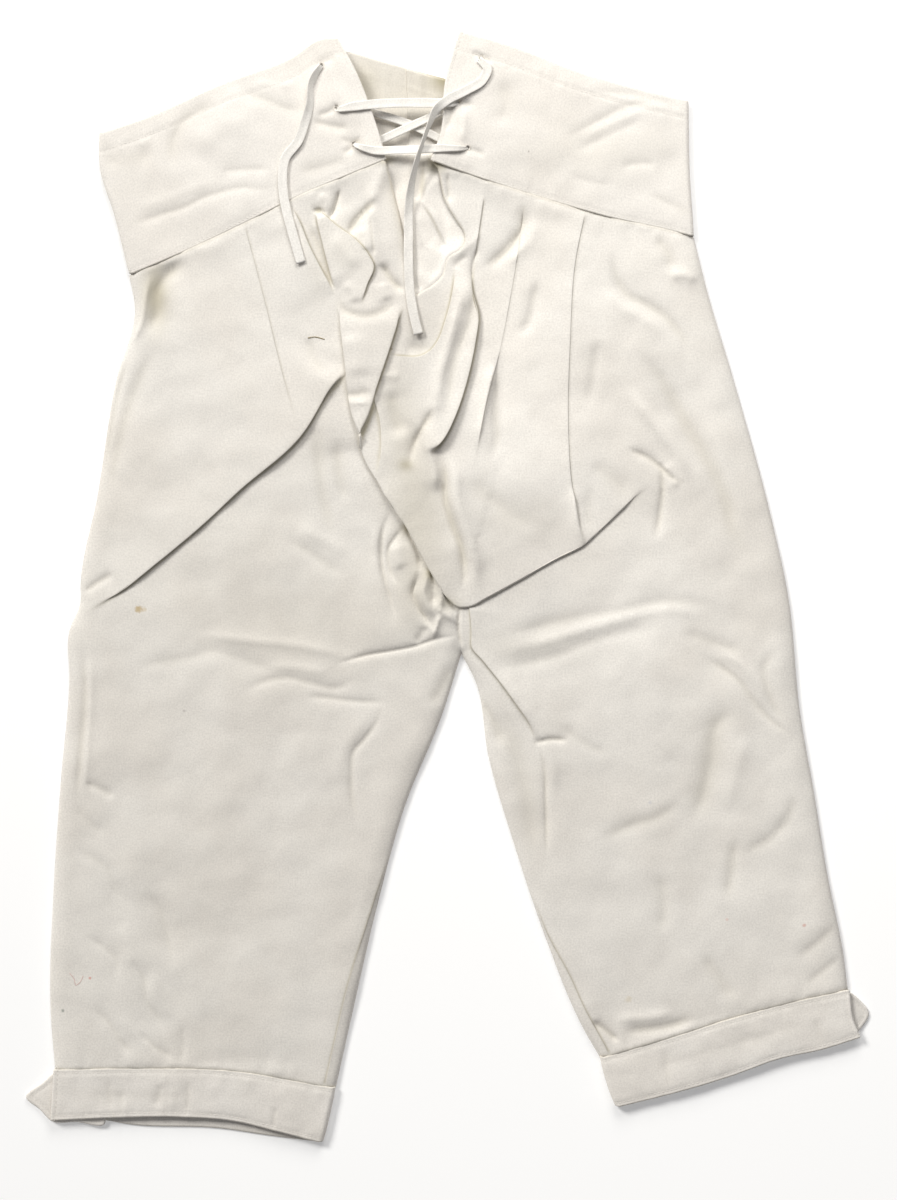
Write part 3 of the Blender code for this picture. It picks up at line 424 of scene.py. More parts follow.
# The gusset in the slit, as lines of x, y and height against the cloth round it: flat between them
GUSSET_LINES = (
    ((-66, 312, -6), (-44, 310, -5.5), (-29, 310, -2.5), (-14, 310, -6), (14, 311, -6)),
    ((-66, 304, -6), (-62, 270, -6), (-54, 238, -6), (-42, 205, -6), (-27, 186, -5)),
    (
        (-44, 299, -3.0), (-42, 288, -2.6), (-38, 272, -2.4), (-34, 256, -2.2),
        (-30, 240, -2.0), (-27, 222, -1.8), (-25, 208, -1.4),
    ),
    (
        (-29, 304, -1.6), (-28, 290, -1.2), (-27, 272, -0.9), (-26, 255, -1.0),
        (-25.5, 238, -1.0), (-25, 222, -1.4), (-24, 209, -2.4),
    ),
    ((-20, 304, -6.2), (-19.5, 290, -6.6), (-21, 275, -4.8)),
    ((-17.5, 277, -0.8), (-11, 284, -1.8), (-7, 288, -3.0)),
    ((-19.5, 270.5, -1.2), (-12, 259, -1.6), (-7, 249, -2.4), (-3.6, 241, -3.2)),
    ((-21.5, 269.5, -2.6), (-13.4, 258, -2.9), (-8.4, 248, -3.9), (-4.8, 240, -4.7)),
    ((-22, 240, -0.8), (-19, 238.5, -1.6), (-10, 236, -1.6), (-4, 234, -1.4)),
    ((-23.4, 223, -1.2), (-12, 220.5, -1.7), (-9, 222, -1.4)),
    ((-3.6, 292, -4.6), (-4.6, 262, -4.2), (-2.6, 246, -3.4), (-1.6, 238, -2.0)),
    (
        (-1.5, 296, -5), (-1, 267, -3.0), (5, 257, -2.2), (11, 246, -1.2), (8.5, 239, -0.2),
        (-2, 232, 0.1),
        (-6.5, 219, 0.15), (-14, 211.5, 0.1), (-24, 205, 0.0),
    ),
    (
        (14.5, 243, -2.8), (11.5, 236, -2.4), (2, 228, -2.4), (-2, 216, -2.4), (-11, 207, -2.4),
        (-22, 200, -2.4),
    ),
    (
        (18, 312, -6), (20, 252, -4), (20, 236, -3.8), (9, 221, -3.6), (4, 209, -3.6),
        (-8, 197, -3.6), (-22, 184, -4),
    ),
)
FACET_BLUR = 0.8
# Painted shade on the gusset along these lines, under the band's corners and beside the slit; they
# also get rows of mesh points
GUSSET_PAINTED_SHADES = soft_folds(
    (4.0, -1.2, (-42, 300), (-36, 272), (-30, 242), (-26, 208)),
    (3.2, -6.0, (-19, 306), (-19, 290), (-21, 270)),
    (1.5, -5.0, (-20, 270), (-12.6, 258.6), (-7.6, 248.6), (-4, 240)),
    (1.6, -1.2, (-25, 262), (-22, 248), (-18, 238), (-10, 236)),
    (2.6, -1.4, (-3, 292), (0, 266), (6, 256), (11, 246), (8, 237), (-3, 229)),
)

# Broad swellings where the full seat heaps up
Puff = namedtuple("Puff", "x y reach_x reach_y height")
PUFFS = (
    Puff(-50, 235, 46, 60, 4.5),  # centre back
    Puff(70, 185, 90, 80, 3.5),  # right seat
    Puff(30, 55, 62, 60, 5.0),  # seat bag
    Puff(6, 262, 20, 40, 2.0),  # slit lip
    Puff(-12, -2, 34, 36, 2.5),  # crotch
    Puff(-150, 120, 70, 90, 2.0),  # left seat
    Puff(-150, -70, 80, 90, 1.5),  # left thigh
    Puff(140, -80, 70, 80, 1.5),  # right thigh
)

# Painted shade: where the cloth is painted darker, in deep places that no light reaches and as
# broad shading.
# The last number is how much darker, as a share.
PAINTED_SHADES = (
    Puff(-35, 118, 14, 38, 0.2),  # bag left
    Puff(-22, 58, 17, 40, 0.3),  # bag lower left
    Puff(44, 50, 34, 16, 0.1),  # bag lower right
    Puff(-72, 238, 15, 20, 0.1),  # flap
    Puff(-92, 232, 7, 30, 0.12),  # gather
    Puff(-20, 180, 14, 18, 0.08),  # pocket
    Puff(-20, 2, 20, 34, 0.22),  # crotch left
    Puff(-90, -30, 60, 34, 0.09),  # left thigh top
    Puff(-165, 10, 100, 75, 0.07),  # left thigh
    Puff(-190, -250, 110, 130, 0.05),  # left leg
    Puff(60, -40, 46, 14, 0.1),  # right thigh top
    Puff(-10, 297, 8, 6, 1.0),  # under the right corner
    Puff(-45, 299, 7, 3.5, 0.7),  # under the left corner
    Puff(0, -10, 6.5, 5.5, 0.8),  # crotch corner
    Puff(-33, 41, 3.6, 4.5, 0.9),  # under the seat fold
    Puff(-16, 9, 3.6, 4.2, 0.9),  # beside the crotch
    Puff(-31, 86, 5, 4, 0.5),  # bag pit
    Puff(-92, 264, 2.6, 2.0, 0.8),  # flap tip
    Puff(-206, 205, 9, 22, 0.75),  # left side
)

# Painted light: places where the cloth is painted lighter
PAINTED_LIGHT_PLACES = (
    Puff(50, 150, 40, 60, 0.1),  # seat middle
    Puff(100, 165, 80, 80, 0.06),  # right seat
    Puff(130, -22, 50, 40, 0.07),  # right thigh
)

# Painted shade on the waistband's upper run
WAIST_PAINTED_SHADES = (
    Puff(105, 305, 48, 20, 0.12),  # right middle
)

# Creases of the waistband's upper run, and of its front where it shows inside the slit
WAIST_FOLDS = soft_folds(
    # Left half
    (
        3.0, -1.0, (-233, 254), (-212, 258), (-197, 263), (-184, 267), (-175, 272), (-160, 277),
        (-145, 280), (-134, 279), (-118, 282),
    ),
    (6, 0.7, (-226, 264), (-200, 271), (-180, 279), (-160, 286)),
    (3.0, -0.8, (-162, 291), (-145, 292.5), (-122, 293)),
    (9, -1.2, (-246, 296), (-225, 300), (-205, 304)),
    (3.0, 1.0, (-238, 307), (-224, 310), (-208, 312)),
    (6, -1.3, (-190, 290), (-194, 308), (-190, 322), (-178, 333), (-160, 341)),
    (16, 1.1, (-176, 300), (-160, 322), (-136, 330)),
    (6, -1.3, (-148, 348), (-126, 340), (-110, 334), (-100, 334)),
    (5, 0.7, (-140, 354), (-122, 351), (-104, 352)),
    (2.2, -1.2, (-96, 364), (-88, 368), (-80, 371)),
    (2.2, -1.6, (-94, 330), (-84, 333), (-77, 339)),
    (4.0, -1.8, (-98, 327), (-84, 323), (-68, 321)),
    (2.6, -1.8, (-76, 303), (-68, 308), (-62, 316)),
    (2.4, -1.4, (-78, 314), (-68, 311), (-58, 308)),
    (7, 0.8, (-92, 380), (-80, 350), (-62, 320)),
    (6, -1.0, (-108, 290), (-90, 294), (-70, 300)),
    # Right half
    (3.0, -0.6, (98, 348), (130, 345), (150, 340), (166, 336)),
    (3.6, 0.3, (108, 342), (134, 340), (156, 334)),
    (4, -0.9, (152, 341), (122, 336), (102, 326), (78, 313)),
    (3.6, 0.6, (140, 335), (112, 324), (88, 311)),
    (5, -0.8, (138, 329), (112, 317), (84, 303)),
    (5, -0.7, (80, 290), (98, 284), (118, 281)),
    (4, -0.9, (118, 294), (132, 297), (146, 296)),
    (4.6, -0.8, (138, 276), (156, 268), (170, 261)),
    (4, 1.6, (10, 336), (10, 322), (8, 310)),
    (3, -1.6, (2, 346), (1, 330), (-3, 318)),
    (2.6, -1.4, (14, 374), (22, 371), (30, 366)),
    (2.4, -1.4, (-2, 342), (8, 340), (18, 336)),
    (2.4, -1.4, (4, 305), (14, 306), (26, 302)),
    (8, -1.0, (34, 356), (40, 340), (34, 322)),
)
WAIST_PUFFS = (
    Puff(-10, 300, 15, 13, 2.2),  # right lifted corner
    Puff(-47, 302, 12, 14, 0.8),  # left lifted corner
    Puff(-150, 320, 50, 26, 0.8),  # left band swell
    Puff(80, 330, 50, 30, 0.9),  # right band swell
)
FRONT_BAND_FOLDS = soft_folds(
    (2.6, 1.2, (-46, 370), (-43, 340)),
    (2.6, 1.2, (-36, 368), (-34, 338)),
    (2.6, 1.3, (-22, 364), (-20, 338)),
    (3.0, 1.2, (-12, 361), (-10, 336)),
    (5, 1.6, (-66, 374), (-56, 358), (-44, 338), (-36, 322)),
)
# Painted shade on the inside of the waistband's front, where it lies in shadow
FRONT_BAND_PAINTED_SHADES = (
    Puff(-30, 352, 70, 34, 0.34),  # front inside
    Puff(0, 358, 13, 10, 0.9),  # front inside corner
    Puff(-62, 352, 10, 16, 0.3),  # front inside slope
)
KNEE_FOLDS = soft_folds(
    # Left
    (2.6, -0.5, (-239, -344), (-238, -366)),
    (2.6, -0.5, (-230, -350), (-230, -371)),
    (3.4, -0.8, (-202, -346), (-206, -364)),
    (2.8, -0.8, (-184, -343), (-183, -356), (-185, -371)),
    (2.2, -0.8, (-122, -362), (-124, -380)),
    (4.0, 0.5, (-194, -348), (-194, -366)),
    (7, -0.6, (-270, -354), (-220, -356), (-170, -356)),
    # Right
    (4.0, -0.5, (150, -320), (154, -352)),
    (4.0, -0.5, (256, -300), (260, -322)),
    (7, -0.6, (130, -340), (190, -322), (260, -302)),
)

# The front, which lies on the floor
SEAM = 0.7
FRONT_TURN = 0.8  # how far its edge turns up at a side seam
FRONT_TURN_REACH = 4.0
FRONT_SEAM_REACH = 14  # how far its folds take to fade towards a band
FRONT_SIDE_REACH = 10  # and towards a side seam
FRONT_GRID = 4.5
FRONT_SPACING = 4
FRONT_EDGE_ROWS = (1.5, 4)
FRONT_EDGE_APART = 1.2
FRONT_GRID_APART = 2.5
GUSSET_GRID = 1.2
FRONT_FOLDS = soft_folds(
    # Left leg
    (9, 1.1, (-240, 40), (-170, 10), (-90, -20)),
    (8, 0.68, (-250, -230), (-200, -250), (-150, -300)),
    (7, 1.2, (-10, -30), (-60, -60), (-130, -70)),
    (8, 0.9, (-180, 210), (-150, 150), (-130, 90)),
    # Right leg
    (9, 0.83, (220, 20), (150, 0), (70, -30)),
    (7, 1.2, (20, -40), (80, -60), (150, -60)),
    (8, 0.9, (110, -290), (150, -250), (170, -200)),
    (8, 0.9, (120, 220), (100, 150), (90, 80)),
)

# Knee tabs
TAB_HEIGHT = 2.3  # of their underside, between the two runs of the band
TAB_DROP = 1.6  # how far their tips hang down
TAB_DROP_REACH = 16.0
TAB_STITCH_INSET = 3.0
TAB_SHORT = 0.3  # how far its cloth ends inside its outline
TAB_EDGE_ROWS = (0.7, 1.5, 2.4, 3.3)
TAB_EDGE_APART = 0.6
TAB_GRID = 1.5
TAB_GRID_APART = 1.0

# Bands
BAND_SWELL = 0.5
STITCH_DENT = 0.32
DENT_REACH = 1.0
KNEE_STITCH_INSET = 2.4

# The lace, a flat woven tape. Each row of a route is x, y, z, its turn in degrees from flat, and
# the share of its full width that it is spread to.
TAPE_WIDTH = 6.5
TAPE_CLOTH = 0.9
TAPE_RING = 1.6  # distance between its rings of points
TAPE_CURL = 0.35  # how far its edges lift
TAPE_WAVE = 0.5  # how far they waver
TAPE_WAVE_REACH = 9  # over what length
TAPE_CRIMP = 0.9  # how deep it folds lengthwise where it is drawn together
TAPE_SWELL = 1.2  # and how much thicker it is there
TAPE_SECTION = (-1, -0.97, -0.86, -0.6, -0.3, 0, 0.3, 0.6, 0.86, 0.97, 1)
LACE_ROUTES = {
    "lace_bar_upper": (
        (-79.5, 334.6, 7.6, 0, 0.45), (-77, 334, 12.0, 0, 0.6), (-70, 335.4, 12.9, 0, 0.9),
        (-59, 337, 12.4, 0, 1),
        (-36, 338.5, 11.8, 4, 1), (-11, 338.5, 12.1, 0, 1), (2, 338.5, 12.2, 0, 0.8),
        (6, 339.5, 8.4, 0, 0.5),
    ),
    "lace_bar_lower": (
        (-67, 310.5, 7.6, 0, 0.4), (-65, 308.6, 12.2, 0, 0.55), (-55, 305.5, 13.0, 0, 0.85),
        (-36, 305.5, 12.6, 12, 0.95), (-20, 306, 13.4, 8, 0.9), (-6, 306.5, 14.3, 0, 0.85),
        (8, 306.6, 12.6, 0, 0.55), (12.5, 307.4, 8.2, 0, 0.4),
    ),
    "lace_end_left": (
        (-90, 365, 10.9, 15, 0.6), (-94, 359, 12.0, 40, 0.9), (-97, 352, 12.4, 50, 1),
        (-98, 337, 12.4, 35, 1),
        (-101, 326, 11.8, 12, 1), (-106, 312, 11.1, 0, 1), (-115, 300, 10.3, 0, 1),
        (-117, 286, 10.2, 0, 1),
        (-116, 273, 10.2, 0, 1), (-112, 255, 10.5, 0, 1), (-108, 241, 10.6, 0, 1),
        (-104, 227, 10.7, 0, 1),
    ),
    "lace_end_right": (
        (20, 369, 11.1, 0, 0.7), (26, 363, 11.4, 0, 1), (23, 355, 11.6, 0, 1),
        (11, 347, 12.9, 0, 1),
        (-2, 340, 14.6, 8, 1), (-10, 333, 15.4, 35, 1), (-15, 322, 16.8, 65, 1),
        (-19, 311, 17.2, 72, 1),
        (-23, 299, 16.0, 65, 1), (-27, 282, 13.4, 45, 1), (-29, 262, 11.2, 15, 1),
        (-29, 246, 11.4, 5, 1),
        (-29, 229, 11.7, 0, 1), (-28, 208, 11.6, 0, 1), (-26, 194, 12.0, 0, 1),
        (-22, 177, 11.7, 0, 1),
    ),
    "lace_cross_one": ((-58, 309, 6.6, 0, 0.8), (-34, 320, 7.4, 0, 0.9), (-4, 334, 7.2, 0, 0.8)),
    "lace_cross_two": ((-60, 335, 5.4, 0, 0.8), (-29, 325, 5.6, 0, 0.9), (-2, 312, 5.6, 0, 0.8)),
}
LACE_EYELETS = {"lace_end_left": (-90, 365.5), "lace_end_right": (22, 370)}

# Eyelets of the back waistband, worked in thread
EYELETS = ((-90, 365.5), (-79.5, 334.6), (-67, 310.5), (22, 370), (6.5, 339.5), (12.5, 307.4))
EYELET_HOLE = 0.8
EYELET_PULL = 6.0  # how far round it the cloth is pushed aside
EYELET_RING = 1.9
EYELET_SIZES = (0.5, 1.3, 0.4)  # pitch, length and thickness of its stitches
RING_POINTS = 37
RING_DROP = 0.4  # how far a ring's lowest stitch may lie under its middle height

# Stains: centre, radius, strength and colour
LEG_SPOTS = (
    ((-218, -15), 3.2, 0.75, (0.52, 0.38, 0.17)),
    ((-214, -15), 2.2, 0.4, (0.60, 0.47, 0.27)),
    ((125, -288), 3.0, 0.35, (0.66, 0.56, 0.38)),
    ((-271, -296), 1.5, 0.75, (0.25, 0.28, 0.24)),
    ((-186, -86), 1.4, 0.5, (0.42, 0.39, 0.36)),
    ((-41, 167), 1.2, 0.6, (0.36, 0.31, 0.22)),
    ((-252, -273), 1.3, 0.7, (0.66, 0.25, 0.2)),
    ((248, -236), 1.6, 0.6, (0.62, 0.3, 0.24)),
    ((194, -232), 1.3, 0.35, (0.68, 0.36, 0.3)),
    ((140, -150), 1.6, 0.3, (0.45, 0.47, 0.55)),
)
BAND_SPOTS = (((55, 305), 0.9, 0.6, (0.33, 0.29, 0.26)),)

# Loose threads: place in plan along each, how far it stands off the cloth, thickness, and colour
STRAY_THREADS = {
    "brown": (((-99, 175), (-95, 175.6), (-88, 174)), 0.1, 0.9, (0.30, 0.24, 0.12)),
    "red": (
        ((-266, -270), (-263, -274), (-262, -278), (-259, -276), (-257, -272)), 0.1, 0.35,
        (0.72, 0.42, 0.38),
    ),
    "lace end": (((-25, 178.5), (-22, 177.5), (-19, 178.6)), 0.3, 0.5, (0.62, 0.57, 0.48)),
}

# Colours of the cloths, light and dark, and of the threads
LEG_COLOURS = ((0.82, 0.788, 0.737), (0.78, 0.742, 0.687))
FRONT_COLOURS = ((0.80, 0.765, 0.72), (0.76, 0.72, 0.67))
BAND_COLOURS = ((0.84, 0.805, 0.755), (0.80, 0.76, 0.705))
TAPE_COLOURS = ((0.87, 0.845, 0.80), (0.83, 0.80, 0.75))
# Painted shade: the colour that creases, seams and deep places are painted towards
PAINTED_SHADE_COLOUR = (0.42, 0.38, 0.27)
THREAD_COLOUR = (0.82, 0.785, 0.73)
EYELET_COLOUR = (0.80, 0.76, 0.70)
DRILL_WEAVE = (0.75, 0.62, 0.09)  # pitch and slant of its ribs, and their relief
TAPE_WEAVE = (0.9, 1.0, 0.12)

# Surroundings. Each lamp has a name, a kind, a place, an angle or a size, and a power.
LAMPS = (
    ("Key", "SUN", (-0.62, 0.6, 0.62), 18, 2.45),
    ("Top", "AREA", (0.15, 1.2, 0.85), 0.9, 14.0),
)
LAMP_COLOUR = (1.0, 0.985, 0.95)
WORLD_STRENGTH = 0.22
WORLD_COLOUR = (0.98, 0.975, 1.0)
FLOOR_SIZE = 8.0  # metres
FLOOR_HEIGHT = -0.05
FLOOR_COLOUR = (0.86, 0.86, 0.86)
FLOOR_GLOW = 0.22

# Sewing
STRAY_PITCH = 0.8
TOPSTITCH = (3.1, 2.3, 0.42)  # pitch, length and thickness
SEAM_STITCH_INSET = 1.8  # topstitching from the edge beside it
FACING_INSET = 12.0  # the line that holds the facing, from the waistband's top


def smooth(points, spacing):
    """A curve through the points, as points about this far apart."""
    points = np.array(points, float)
    along = lengths_along(points[:, :3])
    slopes = np.gradient(points, along, axis=0)
    count = max(2, round(along[-1] / spacing) + 1)
    wanted = np.linspace(0, along[-1], count)
    span = np.clip(np.searchsorted(along, wanted, side="right") - 1, 0, len(points) - 2)
    size = (along[span + 1] - along[span])[:, None]
    part = (wanted - along[span])[:, None] / size
    first, last = points[span], points[span + 1]
    start = (1 + 2 * part) * (1 - part) ** 2 * first + part * (1 - part) ** 2 * size * slopes[span]
    end = part**2 * (3 - 2 * part) * last + part**2 * (part - 1) * size * slopes[span + 1]
    return start + end


def ease(value):
    value = np.clip(value, 0, 1)
    return value * value * (3 - 2 * value)


def lengths_along(points):
    return np.concatenate([[0.0], np.cumsum(np.linalg.norm(np.diff(points, axis=0), axis=1))])


class Line:
    """A path in plan, with the signed distance, place along it and side direction of any point."""

    def __init__(self, path, spacing=3.0):
        self.points = smooth(path, spacing)
        self.along = lengths_along(self.points)
        self.length = self.along[-1]
        tangents = np.gradient(self.points, self.along, axis=0)
        tangents /= np.linalg.norm(tangents, axis=1)[:, None]
        self.sides = np.stack([-tangents[:, 1], tangents[:, 0]], axis=1)

    def near(self, places, reach):
        """Which places may lie within this reach."""
        low, high = self.points.min(axis=0) - reach, self.points.max(axis=0) + reach
        return np.flatnonzero(((places > low) & (places < high)).all(axis=1))

    def measure(self, places):
        """Signed distance of each place, where along the path it is, and the direction sideways."""
        across = (places[:, None, :] - self.points[None]) ** 2
        nearest = across.sum(axis=2).argmin(axis=1)
        found = None
        for first in (nearest - 1, nearest):
            first = np.clip(first, 0, len(self.points) - 2)
            start, step = self.points[first], self.points[first + 1] - self.points[first]
            part = ((places - start) * step).sum(axis=1) / (step**2).sum(axis=1)
            part = np.clip(part, 0, 1)[:, None]
            away = places - start - part * step
            distance = np.linalg.norm(away, axis=1)
            normal = self.sides[first] * (1 - part) + self.sides[first + 1] * part
            along = self.along[first] + part[:, 0] * (self.along[first + 1] - self.along[first])
            signed = distance * np.where((away * normal).sum(axis=1) < 0, -1, 1)
            here = (distance, signed, along, normal)
            if found is None:
                found = here
            else:
                nearer = distance < found[0]
                found = tuple(
                    np.where(nearer[:, None] if new.ndim > 1 else nearer, new, old)
                    for new, old in zip(here, found)
                )
        return found[1:]


def lap_edge(lap):
    """How far the doubled-back cloth reaches past the middle of its bend, in widths."""
    part = np.linspace(0, 1, 101)
    return max(0.0, -(part - lap * part * np.exp(-(part**2))).min())


SIDES = (OUTSEAM_LEFT, INSEAM_LEFT, OUTSEAM_RIGHT, INSEAM_RIGHT)


def side_distance(places):
    """How far in from the nearest side seam each place is."""
    return np.min([np.abs(Line(path, EDGE_LINE).measure(places)[0]) for path in SIDES], axis=0)


def waist_height(x):
    """Height of the waistband's outer face at its seam."""
    left = (x - WAIST_SEAM_LEFT[0][0]) / (WAIST_SEAM_LEFT[-1][0] - WAIST_SEAM_LEFT[0][0])
    right = (WAIST_SEAM_RIGHT[-1][0] - x) / (WAIST_SEAM_RIGHT[-1][0] - WAIST_SEAM_RIGHT[0][0])
    part = np.clip(np.minimum(left, right), 0, 1)
    return 2 * WAIST_FOLD + WAIST_LIFT * part**1.5


def rumple(places, waves):
    """The slow unevenness of handled cloth, from waves of a reach, a height and a seed."""
    return sum(
        height * np.array([noise.noise((x / reach, y / reach, seed)) for x, y in places])
        for reach, height, seed in waves
    )


def soften(places, folds):
    """What the ridges and troughs add at each place, and the painted shade in the troughs there.

    Each fold swells from nothing at both its ends.
    """
    height, dark = np.zeros(len(places)), np.zeros(len(places))
    for fold in folds:
        line = Line(fold.path)
        near = line.near(places, 3 * fold.width)
        if len(near) == 0:
            continue
        signed, along, _ = line.measure(places[near])
        end = FOLD_ENDS * line.length
        swell = ease(along / end) * ease((line.length - along) / end)
        across = np.hypot(signed / fold.width, CREASE_ROUND) - CREASE_ROUND
        height[near] += FOLD_STRENGTH * fold.height * swell * np.exp(-CREASE_TAPER * across)
        if fold.height < 0:
            reach = TROUGH_SPREAD * fold.width
            dark[near] += TROUGH_SHADE * -fold.height * swell * np.exp(-((signed / reach) ** 2))
    return height, np.minimum(dark, TROUGH_MOST)


def puff_up(places, puffs):
    """What the broad swellings, or painted shade and light, add at each place."""
    height = np.zeros(len(places))
    for puff in puffs:
        across = (places[:, 0] - puff.x) / puff.reach_x
        up = (places[:, 1] - puff.y) / puff.reach_y
        height += puff.height * np.exp(-(across**2) - up**2)
    return height


def rise_at(rise, part):
    """The rise of a fold at each part of its length."""
    if isinstance(rise, (int, float)):
        return np.full(len(part), float(rise))
    parts, heights = zip(*rise)
    return np.interp(part, parts, heights)


def lap_over(places, laps):
    """How far the laps move each place in plan, how much higher it lies, and its painted shade."""
    shift, height, painted_shading = np.zeros_like(places), np.zeros(len(places)), np.zeros(len(places))
    for lap in laps:
        line = Line(lap.path, LAP_LINE)
        near = line.near(places, 3 * lap.roll + 3 * lap.width)
        if len(near) == 0:
            continue
        signed, along, side = line.measure(places[near])
        alive = ease(along / lap.fade_in) * ease((line.length - along) / lap.fade_out)
        turn = signed - lap_edge(lap.lap) * lap.width
        back = lap.lap * alive * turn * np.exp(-((turn / lap.width) ** 2))
        shift[near] -= side * back[:, None]
        step = 0.5 + 0.5 * np.tanh(turn / (LAP_STEP * lap.width))
        rise = rise_at(lap.rise, along / line.length)
        height[near] += rise * alive * step * np.exp(-np.maximum(turn, 0) / lap.roll)
        under = (turn < LAP_FOOT * lap.width) * np.exp(-(((signed - back) / PAINTED_SHADE_REACH) ** 2))
        rolled = ROLL_SHADE * (turn >= 0) * np.exp(-((turn / (ROLL_WIDTH * lap.width)) ** 2))
        shade = lap.shade * alive * np.maximum(under, rolled)
        painted_shading[near] = np.maximum(painted_shading[near], shade)
    return shift, height, painted_shading


def puckers(along, signed, pitch, reach, height):
    """Small uneven puckers that run away from a seam."""
    wave = np.zeros(len(along))
    for i in np.flatnonzero(np.abs(signed) < 4 * reach):
        finer = noise.noise((2.2 * along[i] / pitch, 2.0, 7.0))
        wave[i] = noise.noise((along[i] / pitch, 0.4, 3.0)) + 0.5 * finer
    return height * wave * np.exp(-np.abs(signed) / reach)


def band_seams(places):
    """The seams that join the back to its bands: path, height there and which way the band lies."""
    return (
        (WAIST_SEAM_LEFT, waist_height(places[:, 0]), 1),
        (WAIST_SEAM_RIGHT, waist_height(places[:, 0]), 1),
        (KNEE_SEAM_LEFT, 2 * KNEE_FOLD, -1),
        (KNEE_SEAM_RIGHT, 2 * KNEE_FOLD, -1),
    )


def lie(places):
    """The height of the back before any fold, from seam to seam."""
    height = REST_HEIGHT + puff_up(places, PUFFS)
    for path, seam_height, _ in band_seams(places):
        near = 1 - ease(np.abs(Line(path, EDGE_LINE).measure(places)[0]) / SEAM_REACH)
        height += near * (seam_height - height)
    return height


def drape(places):
    """Where the outer face of the back lies for each place in plan, and its painted shading there.
    """
    places = np.array(places, float)
    round_off = np.sqrt(1 - (1 - np.clip(side_distance(places) / ROLL, 0, 1)) ** 2)
    shift, folded, painted_shading = lap_over(places, LAPS)
    relief, dark = soften(places, SOFT_FOLDS)
    painted_shading = np.maximum(painted_shading, np.maximum(dark, puff_up(places, PAINTED_SHADES)))
    folded += relief + rumple(places, WRINKLES)
    height = lie(places)
    sunk = np.zeros(len(places))
    for path, _, upward in band_seams(places):
        signed, along, _ = Line(path, EDGE_LINE).measure(places)
        close = 1 - ease(np.abs(signed) / FOLD_REACH)
        gathered = puckers(along, signed, *SEAM_PUCKERS) * ease(np.abs(signed) / PUCKER_START)
        folded = folded * (1 - close) + gathered
        shift *= (1 - close)[:, None]
        sunk += TUCK_DEPTH * (1 - ease(-upward * signed / TUCK_REACH))
        painted_shading = np.maximum(painted_shading, SEAM_SHADE * np.exp(-((signed / PAINTED_SHADE_REACH) ** 2)))
    for path in (VENT_LEFT, VENT_RIGHT):
        away = np.abs(Line(path, 4).measure(places)[0])
        part = np.clip(away / VENT_ROLL, 0, 1)
        sunk += VENT_ROLL * (1 - np.sqrt(1 - (1 - part) ** 2))
        painted_shading = np.maximum(painted_shading, VENT_SHADE * np.exp(-((away / PAINTED_SHADE_REACH) ** 2)))
    height = EDGE_HEIGHT + (height + folded - sunk - EDGE_HEIGHT) * round_off
    painted_shading = np.minimum(painted_shading, 1) - puff_up(places, PAINTED_LIGHT_PLACES)
    return np.column_stack([places + shift, height, painted_shading])


def inside(places, outline):
    """Which places lie inside a closed outline."""
    x, y = places[:, 0], places[:, 1]
    found = np.zeros(len(places), bool)
    for (x0, y0), (x1, y1) in zip(outline, np.roll(outline, -1, axis=0)):
        crosses = (y0 > y) != (y1 > y)
        with np.errstate(divide="ignore", invalid="ignore"):
            found ^= crosses & (x < (x1 - x0) * (y - y0) / (y1 - y0) + x0)
    return found


def outline_of(*paths, spacing=OUTLINE_SPACING):
    """A closed outline from edge curves that follow each other."""
    points = []
    for path in paths:
        centre_back = path in (CENTRE_BACK, CENTRE_BACK[::-1])
        points.extend(smooth(path, SEAM_SPACING if centre_back else spacing)[:-1])
    return np.array(points)


def drawn_in(outline, by):
    """The outline moved inwards by this much, whichever way round it runs."""
    ahead = np.roll(outline, -1, axis=0) - outline
    ahead /= np.linalg.norm(ahead, axis=1)[:, None]
    normal = np.stack([-ahead[:, 1], ahead[:, 0]], axis=1)
    normal = normal + np.roll(normal, 1, axis=0)
    normal /= np.maximum(np.linalg.norm(normal, axis=1), 0.6)[:, None]
    x, y = outline[:, 0], outline[:, 1]
    area = (x * np.roll(y, -1) - y * np.roll(x, -1)).sum()
    return outline + normal * by * (1 if area > 0 else -1)


def fold_rows(laps, soft_folds):
    """Rows of points along the folds, closest together across the sharp ones."""
    for lap in laps:
        line = Line(lap.path, POINT_SPACING)
        middle, reach = lap_edge(lap.lap) * lap.width, LAP_REACH * lap.width
        rows = round(2 * reach / max(ROW_SPACING, ROW_SHARE * lap.width)) + 1
        for offset in np.linspace(middle - reach, middle + reach, rows):
            yield line.points + line.sides * offset
    for fold in soft_folds:
        if fold.width < NARROW_FOLD:
            line = Line(fold.path, POINT_SPACING)
            for part in SOFT_ROWS:
                yield line.points + line.sides * part * fold.width


def grid_rows(outline, spacing):
    low, high = outline.min(axis=0), outline.max(axis=0)
    for row, y in enumerate(np.arange(low[1], high[1], spacing * math.sqrt(3) / 2)):
        x = np.arange(low[0] + (row % 2) * spacing / 2, high[0], spacing)
        yield np.column_stack([x, np.full(len(x), y)])


def kept_points(outline, sets):
    """The outline's points, then those of each set of rows that crowd none kept before them."""
    kept, cells = [], defaultdict(list)

    def keep(point):
        kept.append(point)
        cells[int(point[0] // CELL), int(point[1] // CELL)].append(point)

    def clear(point, apart):
        column, row = int(point[0] // CELL), int(point[1] // CELL)
        return all(
            math.dist(point, near) > apart
            for i in (-1, 0, 1) for j in (-1, 0, 1) for near in cells.get((column + i, row + j), ())
        )

    for point in outline.tolist():
        keep(point)
    for rows, apart in sets:
        points = np.concatenate(list(rows))
        for point in points[inside(points, outline)].tolist():
            if clear(point, apart):
                keep(point)
    return np.array(kept)


def unit(vectors):
    return vectors / np.maximum(np.linalg.norm(vectors, axis=-1, keepdims=True), 1e-12)


